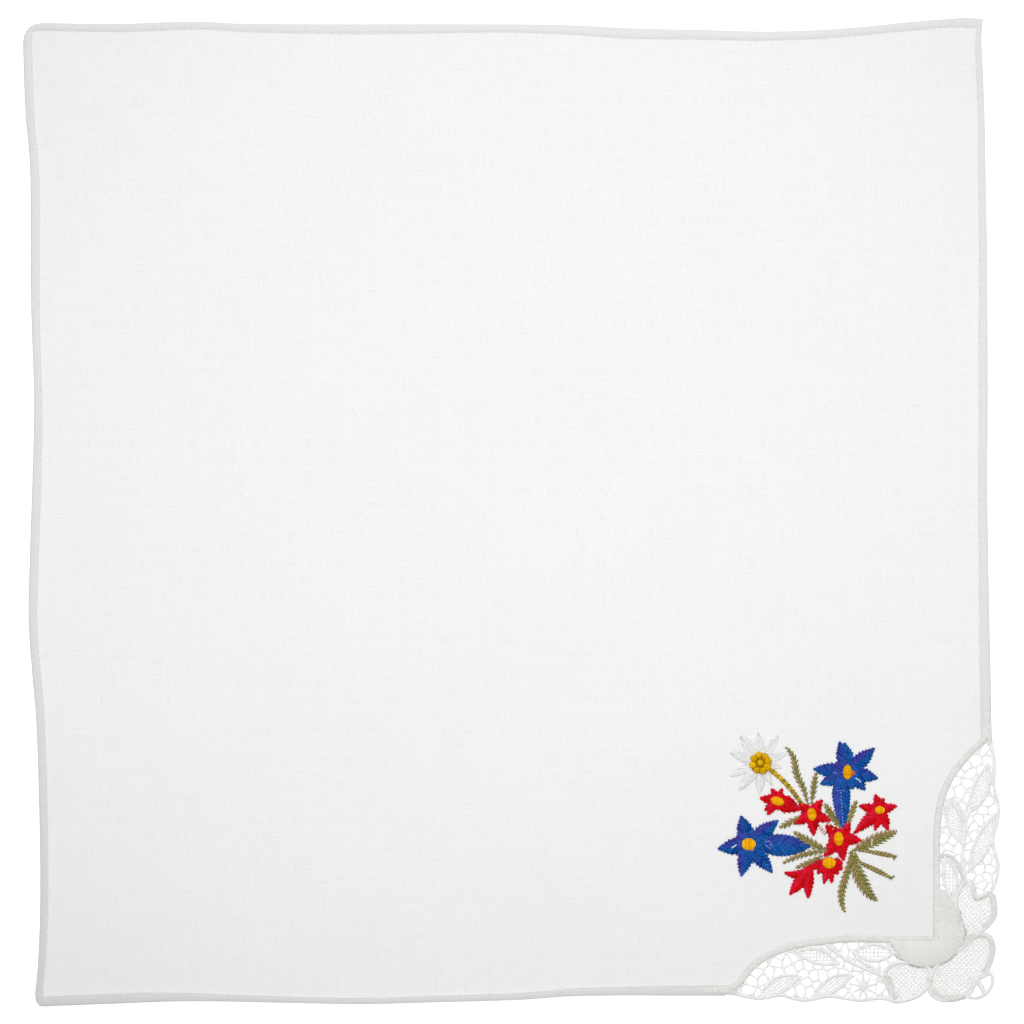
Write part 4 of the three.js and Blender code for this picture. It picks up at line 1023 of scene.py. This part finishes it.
def cord_piece():
    """All cords: round the leaves and petals, the heavy ones, and the plain open ones."""
    skein = Skein()
    for leaf in NET_LEAVES:
        path = leaf_outline(leaf_shape(leaf[:6]), -0.3)
        cord(skein, path, 0.46, CORD_LOW, 0.26, white, closed=True)
    for panel in PANELS:
        cord(skein, lace_curve(panel, True), 0.62, CORD_LOW, 0.3, white, closed=True)
    for points, half in HEAVY_CORDS:
        cord(skein, lace_curve(points), half, 0.62, 0.34, dense_white_painted_shade)
    for points, half in OPEN_CORDS:
        cord(skein, lace_curve(points), half, CORD_LOW, CORD_HIGH, white)
    return skein


def net_piece():
    """The net that fills leaves and petals."""
    skein = Skein()
    for leaf in NET_LEAVES:
        net(skein, leaf_outline(leaf_shape(leaf[:6])), leaf[6], leaf[7], 0.17)
    for panel, angle in zip(PANELS, (38, 45, 45)):
        net(skein, lace_curve(panel, True), 1.0, angle, 0.215)
    return skein


def open_ground(points):
    """Which points lie in the open ground of the lace, between its leaves and petals."""
    rim = np.vstack([heading, lace_curve(OUTER_CORDS[1]), lace_curve(OUTER_CORDS[0])[::-1]])
    filled = [leaf_outline(leaf_shape(leaf[:6])) for leaf in NET_LEAVES]
    filled += [lace_curve(panel, True) for panel in PANELS]
    filled.append(np.vstack([lace_curve(SATIN_INNER), lace_curve(SATIN_OUTER)[::-1]]))
    free = inside(points, rim)
    for shape in filled:
        free &= ~inside(points, shape)
    away = np.linalg.norm(points - LACE_ORIGIN - SPIDER["at"], axis=1)
    return free & (away > SPIDER["ring"])


def web(cell):
    """An irregular web: the lines half way between scattered points, as pairs of ends."""
    u, v = np.meshgrid(np.arange(-66, 26, cell), np.arange(-24, 66, cell * 0.87), indexing="ij")
    u = u + cell / 2 * (np.arange(v.shape[1]) % 2)
    seeds = np.stack([u, v], axis=-1).reshape(-1, 2)
    seeds = seeds + LACE_ORIGIN + rng.uniform(-0.36, 0.36, seeds.shape) * cell
    made = delaunay_2d_cdt([Vector(p) for p in seeds], [], [], 0, 1e-5)
    corners = np.array([tuple(v) for v in made[0]])[np.array(made[2])]
    b, c = corners[:, 1] - corners[:, 0], corners[:, 2] - corners[:, 0]
    double = 2 * (b[:, 0] * c[:, 1] - b[:, 1] * c[:, 0])
    bb, cc = (b**2).sum(axis=1), (c**2).sum(axis=1)
    hub = corners[:, 0] + np.stack([c[:, 1] * bb - b[:, 1] * cc, b[:, 0] * cc - c[:, 0] * bb],
                                   axis=1) / double[:, None]
    sides = {}
    for index, (i, j, k) in enumerate(made[2]):
        for pair in ((i, j), (j, k), (k, i)):
            sides.setdefault(tuple(sorted(pair)), []).append(index)
    ends = np.array([hub[pair] for pair in sides.values() if len(pair) == 2])
    return ends[np.linalg.norm(ends[:, 0] - ends[:, 1], axis=1) < 3 * cell]


# Points along each bar of the open ground.
BAR_POINTS = 12


def bar_piece():
    """The open ground: bars that thicken where they meet, and the spider's rays."""
    skein = Skein()
    ends = web(CELL)
    t = np.linspace(0, 1, BAR_POINTS)
    lines = ends[:, :1] + (ends[:, 1:] - ends[:, :1]) * t[:, None]
    half = 0.27 + 0.24 * np.abs(2 * t - 1) ** 2
    for line, free in zip(lines, open_ground(lines.reshape(-1, 2)).reshape(-1, BAR_POINTS)):
        if free.sum() < 3:
            continue
        first, last = np.flatnonzero(free)[[0, -1]]
        part = slice(max(first - 1, 0), last + 2)
        p = line[part]
        skein.lay(at_height(p, LACE_MID), half[part], 0.12, white(), sides=6)
    middle = LACE_ORIGIN + SPIDER["at"]
    for k in range(SPIDER["bars"]):
        a = math.radians(SPIDER["turn"] + 360 * k / SPIDER["bars"])
        way = ray(a)
        far = SPIDER["ring"] * rng.uniform(0.85, 1.1)
        ends = SPIDER["disc"] * 0.7, min(far, SPIDER["room"] / max(-way[1], 0.01))
        p = middle + np.linspace(*ends, 5)[:, None] * way
        skein.lay(at_height(p, LACE_MID + 0.05), np.linspace(0.5, 0.26, 5), 0.14, white(), sides=6)
        q = middle + SPIDER["ring"] * 0.94 * ray(a + math.tau / SPIDER["bars"])
        p = middle + SPIDER["ring"] * 0.94 * way
        line = p + (q - p) * np.linspace(0, 1, 5)[:, None]
        skein.lay(at_height(line, LACE_MID), 0.18, 0.1, white(), sides=6)
    return skein


def make_lace():
    """The lace corner, in five meshes that stand for its one solid."""
    makers = {"lace_heading": heading_piece, "lace_satin": satin_piece, "lace_cords": cord_piece,
              "lace_net": net_piece, "lace_bars": bar_piece}
    made = [maker().piece(name, guipure) for name, maker in makers.items()]
    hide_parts("lace_corner")
    return made


# ---- the bouquet -----------------------------------------------------------------------------


# The padding is coloured darker than the stitches over it: painted shade in the gaps between
# stitches.
PAD_PAINTED_SHADE = 0.8


def on_cloth(offset):
    return lambda flat: ground(flat) + offset


def finish_piece(skein, node, slot_name):
    piece = skein.piece(node + "_stitches", silk[slot_name])
    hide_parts(node)
    return piece


UP_LEFT = np.array([-0.8, 0.6])


def petal_colour(thread):
    """Shades of a petal: blue turns violet up and left, teal down and right; red turns pink."""

    def colour(t, outward, k):
        inner = shade(thread, rng.uniform(-0.2, 1.0), 0.24 if thread == "blue" else 0.14)
        lit = float(np.dot(outward, UP_LEFT))
        if thread == "blue":
            violet, teal = 0.6 * max(lit, 0), 0.45 * max(-lit, 0) * t
            edge = inner * (1 - violet - teal) + VIOLET * violet + TEAL * teal
        elif thread == "red":
            pink = 0.5 * max(lit, 0)
            edge = inner * (1 - pink) + PINK * pink
        else:
            edge = inner
        return np.stack([edge, inner])

    return colour


def plain_petal(skein, shape, origin, low, thread):
    """Flat satin that follows the petal, hardly seen on the white cloth."""
    colour = petal_colour(thread)
    fishbone(skein, shape, origin, low, colour, lead=2.6, tooth=0.05, lift=0.02, pitch=0.3,
             wide=0.24)


def flower(name, thread, middle, eye, heart_at, petals):
    """The petals with their heart as one piece, and the eye as another."""
    middle = BOUQUET_ORIGIN + middle
    skein, colour = Skein(), petal_colour(thread)
    silver = thread == "silver"
    for degrees, length, width, *belly in petals:
        a = math.radians(degrees)
        leaf = (0, 0, length * math.cos(a), length * math.sin(a), width, 0.0, *(belly or (0.46,)))
        shape = leaf_shape(leaf, sharp=0.62 if silver else 0.92)
        back = THREADS[thread][0] * (1.0 if silver else PAD_PAINTED_SHADE)
        pad(skein, shape, middle, on_cloth(0.06), 0.07 if silver else 0.18, back)
        if silver:
            plain_petal(skein, shape, middle, on_cloth(0.02), thread)
        else:
            fishbone(skein, shape, middle, on_cloth(0.08), colour, lead=0.9, cross=0.35, lift=0.17,
                     tooth=0.45)
            grain(skein, shape, middle, on_cloth(0.08), colour, 0.17)
    heart(skein, middle + heart_at[:2], heart_at[2], on_cloth(0.12), colour)
    pieces = [finish_piece(skein, name + "_petals", thread)]
    skein = Skein()
    centre = middle + eye[:2]
    low = float(ground(centre)[0]) + 0.3
    if silver:
        tint = THREADS["mustard"][0]
        # The disc under the knots is coloured dark: painted shade in the gaps between the knots.
        disc(skein, centre, 3.15, 3.15, 0, low, 0.25, tint * 0.45)
        for k in range(8):
            way = ray(math.tau * (k + 0.3 + rng.uniform(-0.12, 0.12)) / 8)
            knot(skein, centre + rng.uniform(2.2, 2.45) * way, low, rng.uniform(1.02, 1.18),
                 shade("mustard", spread=0.14))
        knot(skein, centre + (-0.1, 0.1), low + 0.05, 0.98, shade("mustard", spread=0.14))
        pieces.append(finish_piece(skein, name + "_eye", "mustard"))
    else:
        dome(skein, centre, *eye[2:], low, 0.55, lambda: shade("yellow", None, 0.12),
             angle=eye[4] + (0 if eye[2] < eye[3] else 90))
        pieces.append(finish_piece(skein, name + "_eye", "yellow"))
    return pieces


def olive_shade(t, outward, k):
    """Leaves are worked with olive and pale brown threads in turn."""
    mix = 0.65 if k % 2 else 0.1
    tint = shade("olive", mix + rng.uniform(-0.2, 0.35), 0.2)
    lit = float(np.dot(outward, UP_LEFT))
    rust, green = 0.85 * max(lit, 0) * rng.uniform(0.3, 1), 0.6 * max(-lit, 0)
    edge = tint * (1 - rust - green) + RUST * rust + GREEN * green
    return np.stack([edge, tint * (1 - 0.6 * rust) + RUST * 0.6 * rust])


def gold_shade(t, outward, k):
    """The stem is golden under the flower and turns olive brown."""
    tint = shade("gold", min(max(1.1 * t + rng.uniform(-0.4, 0.4), -0.1), 1.1), 0.2)
    tint = tint * (1.2, 0.7)[k // 2 % 2]
    return np.stack([tint, tint])


def strap(name, thread, leaf):
    """One leaf, stem, tube or calyx."""
    skein = Skein()
    if thread == "olive":
        shape = leaf_shape(leaf, spine=SPINES.get(name), sharp=0.6)
        slim, banded = leaf[4] < 2.2, leaf[4] < 1.5
        pad(skein, shape, BOUQUET_ORIGIN, on_cloth(0.04), 0.12, THREADS["olive"][0] * PAD_PAINTED_SHADE,
            share=0.4 if slim else 0.62)
        if banded:
            satin(skein, shape, BOUQUET_ORIGIN, on_cloth(0.05),
                  lambda t, outward, k: olive_shade(t, outward, k) * (1.2 if k % 2 else 0.75))
        else:
            fishbone(skein, shape, BOUQUET_ORIGIN, on_cloth(0.05), olive_shade, pitch=0.46,
                     lead=1.0, tooth=0.52, wide=0.2, lift=0.18)
    elif thread == "gold":
        shape = leaf_shape(leaf, taper=1.2)
        pad(skein, shape, BOUQUET_ORIGIN, on_cloth(0.04), 0.12, THREADS["gold"][1] * PAD_PAINTED_SHADE,
            share=0.7)
        fishbone(skein, shape, BOUQUET_ORIGIN, on_cloth(0.05), gold_shade, pitch=0.5, lead=1.0,
                 every=2, tooth=0.2, wide=0.22, lift=0.18)
    else:
        shape = leaf_shape(leaf, taper=1.9 if name == "gentian_upper_tube" else None, sharp=0.7)
        pad(skein, shape, BOUQUET_ORIGIN, on_cloth(0.04), 0.16, THREADS[thread][0] * PAD_PAINTED_SHADE)
        fishbone(skein, shape, BOUQUET_ORIGIN, on_cloth(0.05), petal_colour(thread), tooth=0.25,
                 cross=0.5, lift=0.15)
        grain(skein, shape, BOUQUET_ORIGIN, on_cloth(0.05), petal_colour(thread), 0.15)
    return finish_piece(skein, name, thread)


def bell():
    """The half-closed rose: four red lobes in one piece."""
    skein = Skein()
    for leaf in BELL_LOBES:
        shape = leaf_shape(leaf)
        pad(skein, shape, BOUQUET_ORIGIN, on_cloth(0.05), 0.18, THREADS["red"][0] * PAD_PAINTED_SHADE)
        fishbone(skein, shape, BOUQUET_ORIGIN, on_cloth(0.06), petal_colour("red"), lead=1.3,
                 cross=0.4, lift=0.15)
        grain(skein, shape, BOUQUET_ORIGIN, on_cloth(0.06), petal_colour("red"), 0.15, 1.3)
    return finish_piece(skein, "rose_bell", "red")


PALE_BLUE = lin(140, 150, 226)
PALE_PINK = lin(230, 136, 104)
ORANGE = lin(214, 104, 30)
DARK_RED = lin(150, 24, 30)
# Loose stitches worked last: from x, y to x, y, colour, half width.
LOOSE_STITCHES = (
    [(-1.3 + 0.07 * k, 16.2 - 1.0 * k, -1.26 + 0.07 * k, 15.65 - 1.0 * k, PALE_BLUE, 0.15)
     for k in range(10)]
    + [(-2.5, 16.5, -1.2, 16.7, PALE_BLUE, 0.11), (-1.2, 16.7, -0.2, 16.4, PALE_BLUE, 0.11),
       (-23.4, 1.7, -21.9, 2.1, PALE_BLUE, 0.13), (-21.9, 2.1, -21.2, 0.7, PALE_BLUE, 0.13),
       (-23.2, 0.9, -21.6, -0.4, PALE_BLUE, 0.13), (-22.2, 1.3, -21.2, 0.0, PALE_BLUE, 0.11),
       (-33.0, 0.0, -31.5, 0.9, CLOTH_TONE, 0.17), (7.8, 2.7, 7.6, 0.6, CLOTH_TONE, 0.17),
       (2.9, 20.3, 3.7, 19.9, CLOTH_TONE, 0.14), (3.6, 20.0, 4.6, 18.9, CLOTH_TONE, 0.14),
       (-3.6, 21.9, -2.3, 21.7, PALE_BLUE, 0.1),
       (2.45, 22.4, 2.7, 21.3, PALE_PINK, 0.17), (2.0, 22.5, 2.2, 20.8, ORANGE, 0.26),
       (-27.3, -0.8, -26.5, -0.5, PALE_PINK, 0.18),
       (13.0, -9.0, 14.3, -8.0, THREADS["olive"][0], 0.22),
       (14.4, -2.2, 14.0, -3.6, THREADS["olive"][0], 0.18)]
    + [(x + 0.5 * k, y - 0.56 * k, x + 0.8 + 0.5 * k, y + 0.7 - 0.56 * k,
        (DARK_RED, PALE_PINK)[k % 2], 0.15) for x, y in ((-8.2, 6.1), (-5.4, 6.9))
       for k in range(5)]
)


def loose_piece():
    """Single stitches and stray threads over the rest, in one mesh."""
    skein = Skein()
    for x0, y0, x1, y1, tint, wide in LOOSE_STITCHES:
        ends = BOUQUET_ORIGIN + np.array([(x0, y0), (x1, y1)])
        stitch(skein, ends[0], ends[1], float(ground(ends[:1])[0]) + 0.42, 0.1, tint, wide)
    piece = skein.piece("loose_stitches", silk["silver"])
    return piece


added = [hem_stitches()] + make_lace()
for name, (thread, leaf) in STRAPS.items():
    added.append(strap(name, thread, leaf))
added.append(bell())
for name, (thread, middle, eye, heart_at, petals) in FLOWERS.items():
    added += flower(name, thread, middle, eye, heart_at, petals)
added.append(loose_piece())

# ---- floor, light and camera ------------------------------------------------------------------


FLOOR_HALF = 3.0
FLOOR_GLOW = 0.49


def first_seen(tree):
    """1 on rays from the camera, a reflection or a clear surface, and 0 on the rest."""
    path = tree.nodes.new("ShaderNodeLightPath").outputs
    return calc(tree, "MAXIMUM", path["Is Camera Ray"],
                calc(tree, "MAXIMUM", path["Is Glossy Ray"], path["Is Transmission Ray"]))


def make_floor():
    """A white floor, lifted to plain white where it is seen."""
    half = FLOOR_HALF
    mesh = bpy.data.meshes.new("floor")
    mesh.from_pydata([(-half, -half, 0), (half, -half, 0), (half, half, 0), (-half, half, 0)], [],
                     [(0, 1, 2, 3)])
    floor = bpy.data.objects.new("floor", mesh)
    bpy.context.scene.collection.objects.link(floor)
    material = bpy.data.materials.new("floor")
    material.use_nodes = True
    tree = material.node_tree
    shader = tree.nodes["Principled BSDF"]
    shader.inputs["Base Color"].default_value = (0.94, 0.94, 0.94, 1)
    shader.inputs["Roughness"].default_value = 1.0
    shader.inputs["Specular IOR Level"].default_value = 0.0
    shader.inputs["Emission Color"].default_value = (1, 1, 1, 1)
    plug(tree, shader.inputs["Emission Strength"],
         calc(tree, "MULTIPLY", first_seen(tree), FLOOR_GLOW))
    mesh.materials.append(material)


def make_world(level):
    """A white surround that lights at the given level."""
    world = bpy.data.worlds.new("studio")
    bpy.context.scene.world = world
    world.use_nodes = True
    tree = world.node_tree
    back = tree.nodes["Background"]
    back.inputs["Color"].default_value = (1, 1, 1, 1)
    plug(tree, back.inputs["Strength"],
         calc(tree, "MULTIPLY_ADD", first_seen(tree), 1 - level, level))


def make_lamp(name, at, size, share):
    """Area lamp aimed at the middle: share is the part of a white surface's brightness it gives."""
    at = Vector(at)
    lamp = bpy.data.lights.new(name, "AREA")
    lamp.shape = "SQUARE"
    lamp.size = size
    tilt = at.normalized().z
    lamp.energy = share * math.pi**2 * at.length_squared / tilt
    item = bpy.data.objects.new(name, lamp)
    item.location = at
    item.rotation_euler = at.to_track_quat("Z", "Y").to_euler()
    bpy.context.scene.collection.objects.link(item)


# The middle of the view is this far right of the middle of the square, in millimetres.
VIEW_ASIDE = 0.29


def make_camera():
    """Straight above, and far enough for hardly any perspective."""
    sensor, distance, across = 36, 2.0, 0.29696
    data = bpy.data.cameras.new("camera")
    data.sensor_width = sensor
    data.lens = sensor * distance / across
    data.clip_end = 20
    camera = bpy.data.objects.new("camera", data)
    camera.location = (VIEW_ASIDE * MM + SHIFT[0] * MM, SHIFT[1] * MM, distance)
    bpy.context.scene.collection.objects.link(camera)
    bpy.context.scene.camera = camera


make_floor()
make_world(0.45)
make_lamp("overhead", (0.02, 0.01, 0.52), 0.35, 0.44)
make_lamp("key", (0.18, 1.1, 1.15), 0.5, 0.18)
make_camera()
bpy.context.scene.view_settings.view_transform = "Standard"
